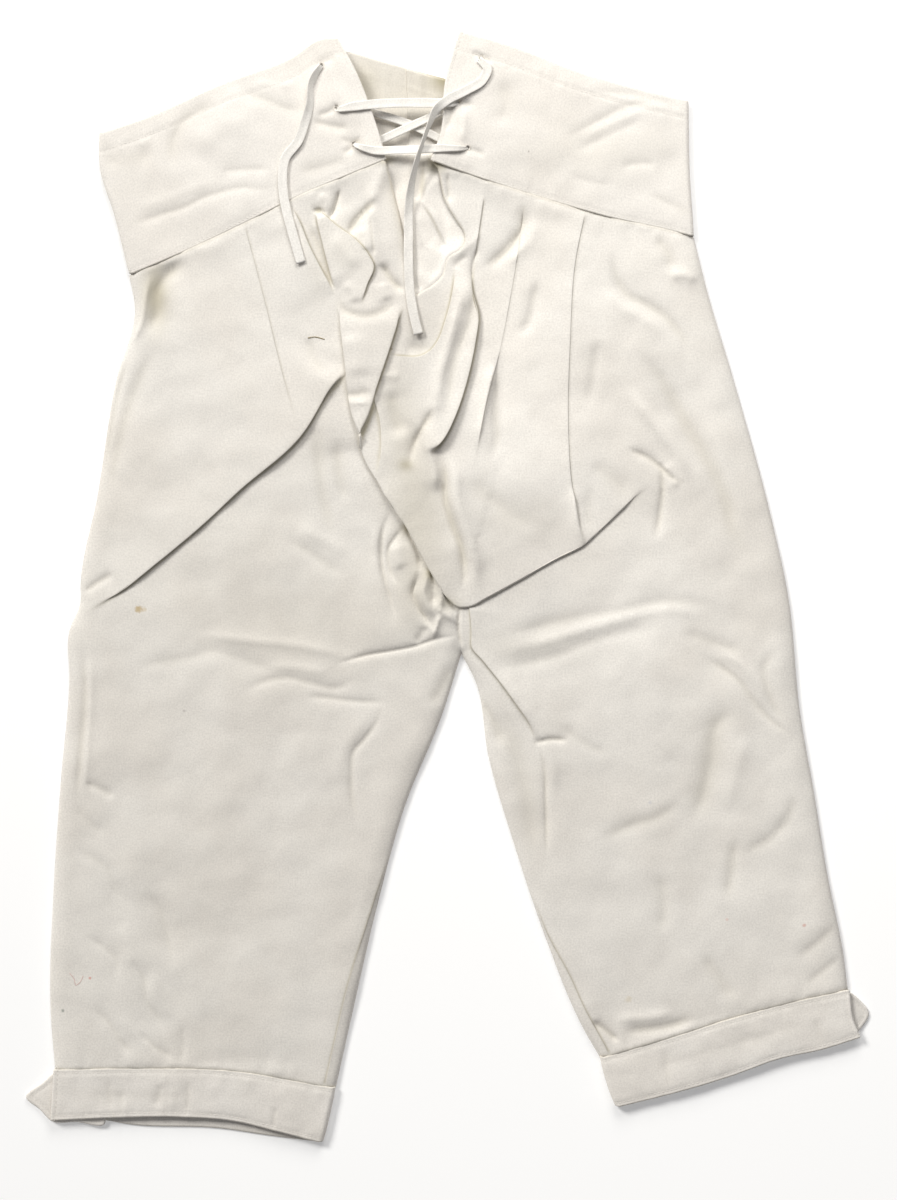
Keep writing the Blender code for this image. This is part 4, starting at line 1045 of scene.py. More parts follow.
def point_normals(points, faces):
    corners = points[faces]
    normals = np.zeros_like(points)
    for i in range(1, faces.shape[1] - 1):
        facing = np.cross(corners[:, i] - corners[:, 0], corners[:, i + 1] - corners[:, 0])
        for j in (0, i, i + 1):
            np.add.at(normals, faces[:, j], facing)
    return unit(normals)


def mark_seam(mesh, plan):
    """Ends an outer face's smooth shading at the centre back seam, where the next panel joins."""
    on_seam = np.zeros(len(mesh.vertices), bool)
    away = Line(CENTRE_BACK, SEAM_SPACING).measure(np.array(plan))[0]
    on_seam[:len(plan)] = np.abs(away) < ON_SEAM
    ends = np.zeros(2 * len(mesh.edges), np.int32)
    mesh.edges.foreach_get("vertices", ends)
    marks = on_seam[ends].reshape(-1, 2).all(axis=1)
    mesh.attributes.new("sharp_edge", "BOOLEAN", "EDGE").data.foreach_set("value", marks)


def link_new(name, data):
    """A new object in the scene."""
    made = bpy.data.objects.new(name, data)
    bpy.context.scene.collection.objects.link(made)
    return made


def set_uv(mesh, uv):
    """Gives every corner of a mesh its point's place on the cloth."""
    index = np.zeros(len(mesh.loops), np.int32)
    mesh.loops.foreach_get("vertex_index", index)
    layer = mesh.uv_layers.new(name="Cloth")
    layer.data.foreach_set("uv", uv[index].astype(np.float32).ravel())


def add_cloth(name, points, faces, thickness, uv, finish):
    """A wall of cloth: its outer face as given, an inner face behind it and a rounded rim between.

    A fourth number beside a point's place is its painted shading: painted shade where above 0,
    painted light where below.
    """
    points, faces = np.array(points, float), np.array(faces, int)
    points, painted_shadings = points[:, :3], points[:, 3]
    normals = point_normals(points, faces)
    count, corners = len(points), faces.shape[1]
    starts = faces.ravel()
    ends = np.roll(faces, -1, axis=1).ravel()
    forward, backward = starts * count + ends, ends * count + starts
    open_edges = ~np.isin(forward, backward)
    starts, ends = starts[open_edges], ends[open_edges]
    facing = unit(np.cross(*(points[faces[:, i]] - points[faces[:, 0]] for i in (1, 2))))
    edge_facing = np.repeat(facing, corners, axis=0)[open_edges]
    outward = np.cross(unit(points[ends] - points[starts]), edge_facing)
    pushed = np.zeros_like(points)
    np.add.at(pushed, starts, outward)
    np.add.at(pushed, ends, outward)
    rim = np.unique(starts)
    rim_index = np.zeros(count, int)
    rim_index[rim] = np.arange(len(rim)) + 2 * count
    inner = points - normals * thickness
    middle = (points[rim] + inner[rim]) / 2 + unit(pushed[rim]) * thickness / 2
    upper = np.stack([ends, starts, rim_index[starts], rim_index[ends]], axis=1)
    lower = np.stack([rim_index[ends], rim_index[starts], starts + count, ends + count], axis=1)
    all_points = np.concatenate([points, inner, middle]) * MM
    all_faces = [
        *faces.tolist(),
        *(faces[:, ::-1] + count).tolist(),
        *upper.tolist(),
        *lower.tolist(),
    ]
    mesh = bpy.data.meshes.new(name)
    mesh.from_pydata(all_points.tolist(), [], all_faces)
    mesh.shade_smooth()
    mark_seam(mesh, uv)
    set_uv(mesh, np.concatenate([uv, uv, np.array(uv)[rim]]))
    all_painted_shadings = np.concatenate([painted_shadings, painted_shadings, painted_shadings[rim]]).astype(np.float32)
    mesh.attributes.new("painted_shading", "FLOAT", "POINT").data.foreach_set("value", all_painted_shadings)
    mesh.materials.append(finish)
    return link_new(name, mesh)


def add_draped(name, outline, surface, sets, thickness, finish, downward=False):
    """A panel cut to an outline in plan and laid over a surface, with its outer face up or down."""
    points = kept_points(outline, sets)
    rim = [(i, (i + 1) % len(outline)) for i in range(len(outline))]
    plan, _, faces, *_ = delaunay_2d_cdt([tuple(point) for point in points], rim, [], 1, 1e-4)
    plan, faces = np.array([tuple(point) for point in plan]), np.array(faces)
    a, b, c = plan[faces[:, 0]], plan[faces[:, 1]], plan[faces[:, 2]]
    turn = (b[:, 0] - a[:, 0]) * (c[:, 1] - a[:, 1]) - (b[:, 1] - a[:, 1]) * (c[:, 0] - a[:, 0])
    wrong = turn > 0 if downward else turn < 0
    faces[wrong] = faces[wrong][:, ::-1]
    return add_cloth(name, surface(plan), faces[turn != 0], thickness, plan, finish)


def along_path(path, parts):
    """Points at these parts of the length of the smooth curve through a path."""
    curve = smooth(path, 1.0)
    along = lengths_along(curve)
    wanted = np.array(parts) * along[-1]
    return np.column_stack([np.interp(wanted, along, curve[:, axis]) for axis in (0, 1)])


def patch(low, top, start, end, parts_u, parts_v):
    """Points that fill four edge curves, at these parts of the way along and up."""
    u, v = parts_u[:, None, None], parts_v[None, :, None]
    across = (1 - v) * along_path(low, parts_u)[:, None] + v * along_path(top, parts_u)[:, None]
    along = (1 - u) * along_path(start, parts_v)[None] + u * along_path(end, parts_v)[None]
    (low_start, low_end), (top_start, top_end) = along_path(low, (0, 1)), along_path(top, (0, 1))
    starts, ends = (1 - v) * low_start + v * top_start, (1 - v) * low_end + v * top_end
    return across + along - ((1 - u) * starts + u * ends)


def strip_faces(count, rows, forward):
    """The quads of a grid of points, count of them long and rows wide."""
    index = np.arange(count * rows).reshape(count, rows)
    corners = [index[:-1, :-1], index[1:, :-1], index[1:, 1:], index[:-1, 1:]]
    quads = np.stack(corners, axis=2).reshape(-1, 4)
    return quads if forward else quads[:, ::-1]


def place_on(line, inset, from_end=False):
    """The place this far along a line of points."""
    along = lengths_along(line)
    wanted = along[-1] - inset if from_end else inset
    return [np.interp(wanted, along, line[:, axis]) for axis in range(3)]


class Strip:
    """A strip of doubled cloth folded round a side, from the patch below to the one above.

    Both patches start at the folded side. The heights are of the strip's outer face, and each comes
    with its painted shade.
    """

    def __init__(self, under, over, under_height, over_height, radius, outward):
        self.dark = np.array([under_height(column)[1] for column in under[::-1]])
        columns = [np.column_stack([column, under_height(column)[0]]) for column in under[::-1]]
        self.first_over = len(columns)
        for angle in np.radians(np.arange(15, 180, 15)):
            part = (1 - math.cos(angle)) / 2
            column = (1 - part) * under[0] + part * over[0]
            column = column + (outward * radius * math.sin(angle), 0)
            height = (1 - part) * under_height(under[0])[0] + part * over_height(over[0])[0]
            columns.append(np.column_stack([column, height]))
            self.first_over += 1
        columns += [np.column_stack([column, over_height(column)[0]]) for column in over]
        self.points = np.array(columns)
        turned = np.zeros((self.first_over - len(self.dark), over.shape[1]))
        self.dark = np.concatenate([self.dark, turned, [over_height(column)[1] for column in over]])
        for edge in (0, -1):
            self.dark[:, edge] = np.maximum(self.dark[:, edge], BAND_EDGE_SHADE)
        self.outward = outward

    def grid(self):
        """Places along the strip and across it, for each of its points."""
        count, rows = self.points.shape[:2]
        u = np.repeat(lengths_along(self.points[:, rows // 2]), rows).reshape(count, rows)
        v = np.array([lengths_along(column) for column in self.points])
        return u, v

    def raise_by(self, height):
        """Moves the outer face out by these heights."""
        count, rows = self.points.shape[:2]
        faces = strip_faces(count, rows, self.outward < 0)
        normals = point_normals(self.points.reshape(-1, 3), faces).reshape(count, rows, 3)
        self.points += normals * height[..., None]
        self.points[..., 2] = np.maximum(self.points[..., 2], BAND_SOLE)

    def add(self, name, holes, finish):
        """The strip's cloth, with an eyelet hole at each of these places on its upper run."""
        points = self.points.copy()
        count, rows = points.shape[:2]
        uv = np.stack(self.grid(), axis=2).reshape(-1, 2)
        index = np.arange(count * rows).reshape(count, rows)
        dropped = set()
        for x, y in holes:
            top = points[self.first_over:]
            away = np.linalg.norm(top[..., :2] - (x, y), axis=2)
            i, j = np.unravel_index(away.argmin(), away.shape)
            centre = top[i, j, :2].copy()
            offset = top[..., :2] - centre
            reach = np.linalg.norm(offset, axis=2)
            opened = np.sqrt(reach**2 + EYELET_HOLE**2 * np.exp(-((reach / EYELET_PULL) ** 2)))
            scale = np.where(reach > 0, opened / np.maximum(reach, 1e-6), 1)
            top[..., :2] = centre + offset * scale[..., None]
            dropped.add(int(index[self.first_over + i, j]))
        quads = strip_faces(count, rows, self.outward < 0)
        quads = quads[~np.isin(quads, list(dropped)).any(axis=1)]
        used = np.unique(quads)
        renumber = np.zeros(count * rows, int)
        renumber[used] = np.arange(len(used))
        points = np.column_stack([points.reshape(-1, 3), np.clip(self.dark, 0, 1).ravel()])
        return add_cloth(name, points[used], renumber[quads], BAND_CLOTH, uv[used], finish)

    def row(self, inset, from_top=False):
        """A line along the strip's outer face, this far in from one of its long edges."""
        return np.array([place_on(column, inset, from_top) for column in self.points])

    def end_row(self, inset, upper):
        """A line across the strip's outer face, this far in from one of its ends."""
        run = self.points[::-1] if upper else self.points
        return np.array([place_on(run[:, j], inset) for j in range(run.shape[1])])


def plug(tree, made, inputs):
    """Gives a node its plain inputs and its links."""
    for key, value in dict(inputs).items():
        if isinstance(value, bpy.types.NodeSocket):
            tree.links.new(value, made.inputs[key])
        else:
            made.inputs[key].default_value = value


def node(tree, kind, inputs=(), **settings):
    """A new node with its settings and its inputs."""
    made = tree.nodes.new(kind)
    for name, value in settings.items():
        setattr(made, name, value)
    plug(tree, made, inputs)
    return made


def maths(tree, operation, *values):
    return node(tree, "ShaderNodeMath", enumerate(values), operation=operation).outputs[0]


def vector_maths(tree, operation, first, second):
    """Two vectors put together."""
    return node(tree, "ShaderNodeVectorMath", {0: first, 1: second}, operation=operation).outputs[0]


def noise_on(tree, place, scale, detail, roughness=0.5, flat=False):
    """Noise at a place, which varies over two of its numbers if it is flat."""
    inputs = {"Vector": place, "Scale": scale, "Detail": detail, "Roughness": roughness}
    size = "2D" if flat else "3D"
    return node(tree, "ShaderNodeTexNoise", inputs, noise_dimensions=size).outputs[0]


def spread(tree, value, low, high, to_low=0.0, to_high=1.0, kind="LINEAR"):
    """A value carried from one range to another."""
    ranges = {"From Min": low, "From Max": high, "To Min": to_low, "To Max": to_high}
    inputs = {"Value": value, **ranges}
    return node(tree, "ShaderNodeMapRange", inputs, interpolation_type=kind).outputs[0]


def mix(tree, factor, first, second, blend="MIX"):
    """Two colours mixed, or multiplied."""
    inputs = {0: factor, 6: first, 7: second}
    return node(tree, "ShaderNodeMix", inputs, data_type="RGBA", blend_type=blend).outputs[2]


def new_group(name, kind, inputs, outputs, output_kind="Float"):
    """A node group, and the nodes that carry its inputs and outputs."""
    group = bpy.data.node_groups.new(name, kind)
    for label, socket_kind, value in inputs:
        socket = group.interface.new_socket(
            label, in_out="INPUT", socket_type="NodeSocket" + socket_kind
        )
        if value is not None:
            socket.default_value = value
    for label in outputs:
        group.interface.new_socket(label, in_out="OUTPUT", socket_type="NodeSocket" + output_kind)
    given, out = group.nodes.new("NodeGroupInput"), group.nodes.new("NodeGroupOutput")
    return group, given.outputs, out.inputs


def make_drill_group():
    """Twill weave on the cloth's own places in millimetres: slanting ribs, threads and slubs."""
    group, given, out = new_group(
        "Drill weave", "ShaderNodeTree",
        (
            ("Place", "Vector", (0, 0, 0)), ("Rib pitch", "Float", 0.7), ("Slant", "Float", 0.6),
            ("Slub", "Float", 0.5),
        ),
        ("Height", "Shade"),
    )
    place = node(group, "ShaderNodeSeparateXYZ", {0: given["Place"]}).outputs
    wander = noise_on(group, given["Place"], 0.35, 2.0, flat=True)
    across = maths(group, "MULTIPLY_ADD", place[1], given["Slant"], place[0])
    across = maths(group, "MULTIPLY_ADD", wander, 0.9, across)
    threads = []
    for along, turn in ((across, 2 * math.pi), (place[1], 3.4 * math.pi)):
        turns = maths(group, "DIVIDE", maths(group, "MULTIPLY", along, turn), given["Rib pitch"])
        threads.append(maths(group, "MULTIPLY_ADD", maths(group, "SINE", turns), 0.5, 0.5))
    slubs = []
    for stretch in ((2.6, 0.14, 1), (0.14, 2.6, 1)):
        drawn = vector_maths(group, "MULTIPLY", given["Place"], stretch)
        slubs.append(noise_on(group, drawn, 1.0, 3.0, 0.6, flat=True))
    slub = maths(group, "MULTIPLY", maths(group, "ADD", *slubs), 0.5)
    grain = noise_on(group, given["Place"], 0.8, 2.0, flat=True)
    woven = maths(group, "MULTIPLY_ADD", threads[1], 0.3, maths(group, "MULTIPLY", threads[0], 0.7))
    group.links.new(maths(group, "MULTIPLY_ADD", slub, given["Slub"], woven), out["Height"])
    group.links.new(maths(group, "MULTIPLY", maths(group, "ADD", slub, grain), 0.5), out["Shade"])
    return group


def make_mottling_group():
    """Broad unevenness of old washed cotton, and small flecks, on the object's own places."""
    group, given, out = new_group(
        "Cloth mottling", "ShaderNodeTree",
        (("Place", "Vector", (0, 0, 0)), ("Reach", "Float", 0.09)), ("Blotch", "Fleck"),
    )
    scale = maths(group, "DIVIDE", 1.0, given["Reach"])
    blotch = noise_on(group, given["Place"], scale, 4.0, 0.55)
    fleck = noise_on(group, given["Place"], maths(group, "MULTIPLY", scale, 22.0), 2.0)
    for value, low, high, label in ((blotch, 0.36, 0.64, "Blotch"), (fleck, 0.62, 0.74, "Fleck")):
        group.links.new(spread(group, value, low, high, kind="SMOOTHSTEP"), out[label])
    return group


def make_spot_group():
    """A soft-edged round stain about a centre, in metres."""
    group, given, out = new_group(
        "Spot", "ShaderNodeTree",
        (
            ("Place", "Vector", (0, 0, 0)), ("Centre", "Vector", (0, 0, 0)),
            ("Radius", "Float", 0.003), ("Strength", "Float", 0.5),
        ),
        ("Mask",),
    )
    ragged = noise_on(group, given["Place"], 420.0, 2.0)
    away = vector_maths(group, "SUBTRACT", given["Place"], given["Centre"])
    flat = vector_maths(group, "MULTIPLY", away, (1, 1, 0))
    distance = node(group, "ShaderNodeVectorMath", {0: flat}, operation="LENGTH").outputs["Value"]
    part = maths(group, "DIVIDE", distance, given["Radius"])
    part = maths(group, "MULTIPLY_ADD", maths(group, "SUBTRACT", ragged, 0.5), 1.1, part)
    mask = spread(group, part, 1.1, 0.35, kind="SMOOTHSTEP")
    group.links.new(maths(group, "MULTIPLY", mask, given["Strength"]), out["Mask"])
    return group


def new_material(name):
    """A material, its nodes and its shader."""
    made = bpy.data.materials.new(name)
    made.use_nodes = True
    return made, made.node_tree, made.node_tree.nodes["Principled BSDF"]


def make_cloth(name, light, dark, pitch, slant, relief, spots=()):
    """Cream cotton: weave and slubs along the cloth, mottling, painted shade in creases and deep
    places, painted light, and stains.
    """
    made, tree, shader = new_material(name)
    uv = node(tree, "ShaderNodeUVMap", uv_map="Cloth").outputs[0]
    place = node(tree, "ShaderNodeTexCoord").outputs["Object"]
    weave = node(
        tree, "ShaderNodeGroup", {"Place": uv, "Rib pitch": pitch, "Slant": slant}, node_tree=DRILL
    )
    mottling = node(tree, "ShaderNodeGroup", {"Place": place}, node_tree=MOTTLING)
    colour = mix(tree, mottling.outputs["Blotch"], (*dark, 1), (*light, 1))
    shade = spread(tree, weave.outputs["Shade"], 0.3, 0.7, 0.87, 1.1)
    colour = mix(tree, 1.0, colour, shade, "MULTIPLY")
    # Painted shading from the mesh: painted light where it is below 0, painted shade towards its
    # colour where above
    painted_shading = node(tree, "ShaderNodeAttribute", attribute_name="painted_shading").outputs["Fac"]
    painted_light = maths(tree, "SUBTRACT", 1.0, maths(tree, "MINIMUM", painted_shading, 0.0))
    colour = mix(tree, 1.0, colour, painted_light, "MULTIPLY")
    colour = mix(tree, painted_shading, colour, (*PAINTED_SHADE_COLOUR, 1))
    for centre, radius, strength, stain in spots:
        inputs = {
            "Place": place, "Centre": (centre[0] * MM, centre[1] * MM, 0), "Radius": radius * MM,
            "Strength": strength,
        }
        spot = node(tree, "ShaderNodeGroup", inputs, node_tree=SPOT)
        colour = mix(tree, spot.outputs["Mask"], colour, (*stain, 1))
    bumps = {"Height": weave.outputs["Height"], "Strength": 1.0, "Distance": relief * MM}
    plug(tree, shader, {
        "Base Color": colour,
        "Roughness": spread(tree, mottling.outputs["Fleck"], 0.0, 1.0, 0.93, 0.8),
        "Normal": node(tree, "ShaderNodeBump", bumps).outputs[0],
        "Sheen Weight": 0.12,
        "Sheen Roughness": 0.5,
        "Specular IOR Level": 0.25,
    })
    return made


def make_thread(name, colour):
    """Plied sewing thread: a fine even fibre noise."""
    made, tree, shader = new_material(name)
    place = node(tree, "ShaderNodeTexCoord").outputs["Object"]
    fibre = noise_on(tree, place, 1900.0, 2.0)
    shade = spread(tree, fibre, 0.0, 1.0, 0.86, 1.08)
    bumps = {"Height": fibre, "Strength": 0.6, "Distance": 0.05 * MM}
    plug(tree, shader, {
        "Base Color": mix(tree, 1.0, (*colour, 1), shade, "MULTIPLY"),
        "Roughness": 0.75,
        "Normal": node(tree, "ShaderNodeBump", bumps).outputs[0],
        "Specular IOR Level": 0.3,
    })
    return made


def make_stitch_tree():
    """Stitches laid along the edges of a mesh, each turned to its "lie" attribute."""
    tree, given, out = new_group(
        "Stitches", "GeometryNodeTree",
        (
            ("Lines", "Geometry", None), ("Pitch", "Float", 0.003), ("Length", "Float", 0.0023),
            ("Thickness", "Float", 0.0004), ("Unevenness", "Float", 0.12),
            ("Thread", "Material", None),
        ),
        ("Stitches",), "Geometry",
    )
    curve = node(tree, "GeometryNodeMeshToCurve", {"Mesh": given["Lines"]}).outputs[0]
    spaced = node(
        tree, "GeometryNodeResampleCurve", {"Curve": curve, "Length": given["Pitch"]}, mode="LENGTH"
    ).outputs[0]
    ball = node(tree, "GeometryNodeMeshUVSphere", {"Segments": 6, "Rings": 4, "Radius": 0.5})
    soft = node(
        tree, "GeometryNodeSetShadeSmooth", {"Geometry": ball.outputs[0], "Shade Smooth": True}
    ).outputs[0]
    lie = node(
        tree, "GeometryNodeInputNamedAttribute", {"Name": "lie"}, data_type="FLOAT_VECTOR"
    ).outputs[0]
    turned = node(tree, "FunctionNodeAlignRotationToVector", {"Vector": lie}, axis="X").outputs[0]
    less, more = (maths(tree, sign, 1.0, given["Unevenness"]) for sign in ("SUBTRACT", "ADD"))
    varied = node(
        tree, "FunctionNodeRandomValue", {"Min": less, "Max": more, "Seed": 7}, data_type="FLOAT"
    )
    factor = next(socket for socket in varied.outputs if socket.enabled)
    length = maths(tree, "MULTIPLY", given["Length"], factor)
    size = node(
        tree, "ShaderNodeCombineXYZ", {0: length, 1: given["Thickness"], 2: given["Thickness"]}
    ).outputs[0]
    laid = node(
        tree, "GeometryNodeInstanceOnPoints",
        {"Points": spaced, "Instance": soft, "Rotation": turned, "Scale": size},
    ).outputs[0]
    real = node(tree, "GeometryNodeRealizeInstances", {0: laid}).outputs[0]
    dyed = {"Geometry": real, "Material": given["Thread"]}
    tree.links.new(node(tree, "GeometryNodeSetMaterial", dyed).outputs[0], out[0])
    return tree


def add_stitching(name, lines, thread, sizes=TOPSTITCH, centres=None):
    """Stitches along these lines of points, or across them, away from centres."""
    points, edges, lies = [], [], []
    for i, line in enumerate(lines):
        edges.extend((len(points) + j, len(points) + j + 1) for j in range(len(line) - 1))
        points.extend(line.tolist())
        away = np.gradient(line, axis=0) if centres is None else line - centres[i]
        lies.extend(unit(away).tolist())
    mesh = bpy.data.meshes.new(name)
    mesh.from_pydata((np.array(points) * MM).tolist(), edges, [])
    lies = np.array(lies, np.float32).ravel()
    mesh.attributes.new("lie", "FLOAT_VECTOR", "POINT").data.foreach_set("vector", lies)
    guide = link_new(name + "_guide", mesh)
    sewn = guide.modifiers.new("Stitches", "NODES")
    sewn.node_group = STITCHES
    given = {label: size * MM for label, size in zip(("Pitch", "Length", "Thickness"), sizes)}
    given["Thread"] = thread
    for item in STITCHES.interface.items_tree:
        if item.in_out == "INPUT" and item.name in given:
            sewn[item.identifier] = given[item.name]
    bpy.context.view_layer.update()
    graph = bpy.context.evaluated_depsgraph_get()
    finished = bpy.data.meshes.new_from_object(guide.evaluated_get(graph))
    bpy.data.objects.remove(guide)
    finished.name = name
    return link_new(name, finished)


def tucked(path, by):
    """A seam line carried this far under its band, but not at its ends."""
    path = smooth(path, 6.0)
    part = np.linspace(0, 1, len(path))
    path[:, 1] += by * ease(np.minimum(part, 1 - part) / 0.05)
    return tuple(tuple(place) for place in path)


def panel_sets(outline, laps, soft_folds, spacing):
    """The rows of points that a panel is meshed with, in order, and how far apart they are."""
    return (
        ([drawn_in(outline, inset) for inset in EDGE_ROWS], FOLD_APART),
        (fold_rows(laps, soft_folds), FOLD_APART),
        (grid_rows(outline, spacing), GRID_APART),
    )


def make_back_legs(finish):
    left = outline_of(
        tucked(WAIST_SEAM_LEFT, TUCK), VENT_LEFT, CENTRE_BACK, INSEAM_LEFT,
        tucked(KNEE_SEAM_LEFT, -TUCK)[::-1], OUTSEAM_LEFT[::-1],
    )
    right = outline_of(
        tucked(WAIST_SEAM_RIGHT, TUCK), OUTSEAM_RIGHT, tucked(KNEE_SEAM_RIGHT, -TUCK)[::-1],
        INSEAM_RIGHT[::-1], CENTRE_BACK[::-1], VENT_RIGHT[::-1],
    )
    made = []
    for side, outline in (("left", left), ("right", right)):
        sets = panel_sets(outline, LAPS, SOFT_FOLDS, GRID)
        piece = add_draped(f"back_leg_{side}_cloth", outline, drape, sets, CLOTH, finish)
        made.append((piece, f"back_leg_{side}"))
    return made


def add_stray_threads(panels):
    made = []
    for name, (path, off, thickness, colour) in STRAY_THREADS.items():
        line = np.array([top_of(panels, x, y) for x, y in smooth(path, 0.5)]) + (0, 0, off)
        fibre = make_thread(f"stray_thread_{name.replace(' ', '_')}", colour)
        made.append(add_stitching(fibre.name, [line], fibre, (STRAY_PITCH, STRAY_PITCH, thickness)))
    return made


def front_surface(places):
    """The outer face of the front, which lies on the floor and turns up at its sides."""
    inset = side_distance(places)
    height = FRONT_TURN * (1 - np.clip(inset / FRONT_TURN_REACH, 0, 1)) ** 2
    folds = np.maximum(soften(places, FRONT_FOLDS)[0], 0)
    folds = folds + np.maximum(rumple(places, FRONT_WRINKLES), 0)
    for path in (FRONT_WAIST_LEFT, FRONT_WAIST_RIGHT, KNEE_SEAM_LEFT, KNEE_SEAM_RIGHT):
        folds *= ease(np.abs(Line(path, EDGE_LINE).measure(places)[0]) / FRONT_SEAM_REACH)
    height = height + folds * ease(inset / FRONT_SIDE_REACH)
    return np.column_stack([places, height, np.zeros(len(places))])


def make_front_legs(finish):
    left = outline_of(
        FRONT_WAIST_LEFT, CENTRE_FRONT, INSEAM_LEFT, KNEE_SEAM_LEFT[::-1], OUTSEAM_LEFT[::-1],
        spacing=FRONT_SPACING,
    )
    right = outline_of(
        FRONT_WAIST_RIGHT, OUTSEAM_RIGHT, KNEE_SEAM_RIGHT[::-1], INSEAM_RIGHT[::-1],
        CENTRE_FRONT[::-1], spacing=FRONT_SPACING,
    )
    made = []
    for side, outline in (("left", left), ("right", right)):
        outline = drawn_in(outline, SEAM / 2)
        edges = [drawn_in(outline, inset) for inset in FRONT_EDGE_ROWS]
        rows = ((edges, FRONT_EDGE_APART), (grid_rows(outline, FRONT_GRID), FRONT_GRID_APART))
        piece = add_draped(
            f"front_leg_{side}_cloth", outline, front_surface, rows, CLOTH, finish, downward=True
        )
        made.append((piece, f"front_leg_{side}"))
    return made


class Facets:
    """A creased sheet, flat between lines of points that give x, y and height."""

    def __init__(self, lines):
        points, edges = [], []
        for line in lines:
            edges.extend((len(points) + i, len(points) + i + 1) for i in range(len(line) - 1))
            points.extend(line)
        places = [point[:2] for point in points]
        plan, _, faces, sources, *_ = delaunay_2d_cdt(places, edges, [], 0, 1e-4)
        heights = [points[source[0]][2] for source in sources]
        self.corners = np.array([[(*plan[i], heights[i]) for i in face] for face in faces])

    def height(self, places):
        found = np.full(len(places), np.nan)
        for a, b, c in self.corners:
            size = (b[0] - a[0]) * (c[1] - a[1]) - (b[1] - a[1]) * (c[0] - a[0])
            x, y = places[:, 0] - a[0], places[:, 1] - a[1]
            second = (x * (c[1] - a[1]) - y * (c[0] - a[0])) / size
            third = (y * (b[0] - a[0]) - x * (b[1] - a[1])) / size
            within = (second >= -1e-6) & (third >= -1e-6) & (second + third <= 1 + 1e-6)
            found[within] = (a[2] + second * (b[2] - a[2]) + third * (c[2] - a[2]))[within]
        return found

    def soft_height(self, places, blur):
        """The height with its creases rounded."""
        turns = np.arange(6) * math.pi / 3
        moves = [(0, 0)] + [(blur * math.cos(turn), blur * math.sin(turn)) for turn in turns]
        return np.nanmean([self.height(places + move) for move in moves], axis=0)


def gusset_surface(places):
    """The gusset fills the slit, in flat facets between sharp folds."""
    places = np.array(places, float)
    height = lie(places) + rumple(places, WRINKLES) + soften(places, SOFT_FOLDS)[0]
    height += Facets(GUSSET_LINES).soft_height(places, FACET_BLUR)
    dark = np.maximum(soften(places, GUSSET_PAINTED_SHADES)[1], puff_up(places, PAINTED_SHADES))
    return np.column_stack([places, height, np.minimum(dark, 1) - GUSSET_PAINTED_LIGHT])


def make_gusset(finish):
    outline = outline_of(GUSSET_SIDES, GUSSET_TOP)
    sets = panel_sets(outline, (), GUSSET_PAINTED_SHADES, GUSSET_GRID)
    return add_draped("back_gusset_cloth", outline, gusset_surface, sets, CLOTH, finish)


def press(strip, low, top):
    """Lets stitch lines into a band, this far from its long edges and its upper end."""
    u, v = strip.grid()
    width, length = v[:, -1:], u[-1, 0]
    relief = np.zeros_like(u)
    for across in (v - low, v - (width - top)):
        dent = np.exp(-((across / DENT_REACH) ** 2))
        relief -= STITCH_DENT * dent
        wave = puckers(u.ravel(), across.ravel(), *STITCH_PUCKERS).reshape(u.shape)
        relief += wave * (1 - dent)
    relief -= STITCH_DENT * np.exp(-(((u - (length - low)) / DENT_REACH) ** 2))
    swell = BAND_SWELL * (1 - np.abs(2 * v / width - 1) ** 4)
    strip.raise_by(relief + swell)


def band_strip(over_edges, under_edges, columns, rows, start, under, over, radius, outward):
    """A strip whose two runs each fill four edge curves, half a cloth short of the long ones."""
    parts = np.linspace(0, 1, rows)
    runs = [
        patch(*edges, np.linspace(start, 1, count), parts)
        for edges, count in zip((under_edges, over_edges), columns)
    ]
    for run in runs:
        run[:, 0, 1] += BAND_CLOTH / 2
        run[:, -1, 1] -= BAND_CLOTH / 2
    return Strip(*runs, under, over, radius, outward)


def sew_band(name, strip, low, top, holes, finish, thread, both_ends=False):
    """Meshes a strip with its stitch lines, this far from its long edges and its ends."""
    press(strip, low, top)
    piece = strip.add(name + "_cloth", holes, finish)
    lines = [strip.row(low), strip.row(top, from_top=True), strip.end_row(low, upper=True)]
    if both_ends:
        lines.append(strip.end_row(low, upper=False))
    return piece, add_stitching(name + "_stitching", lines, thread)


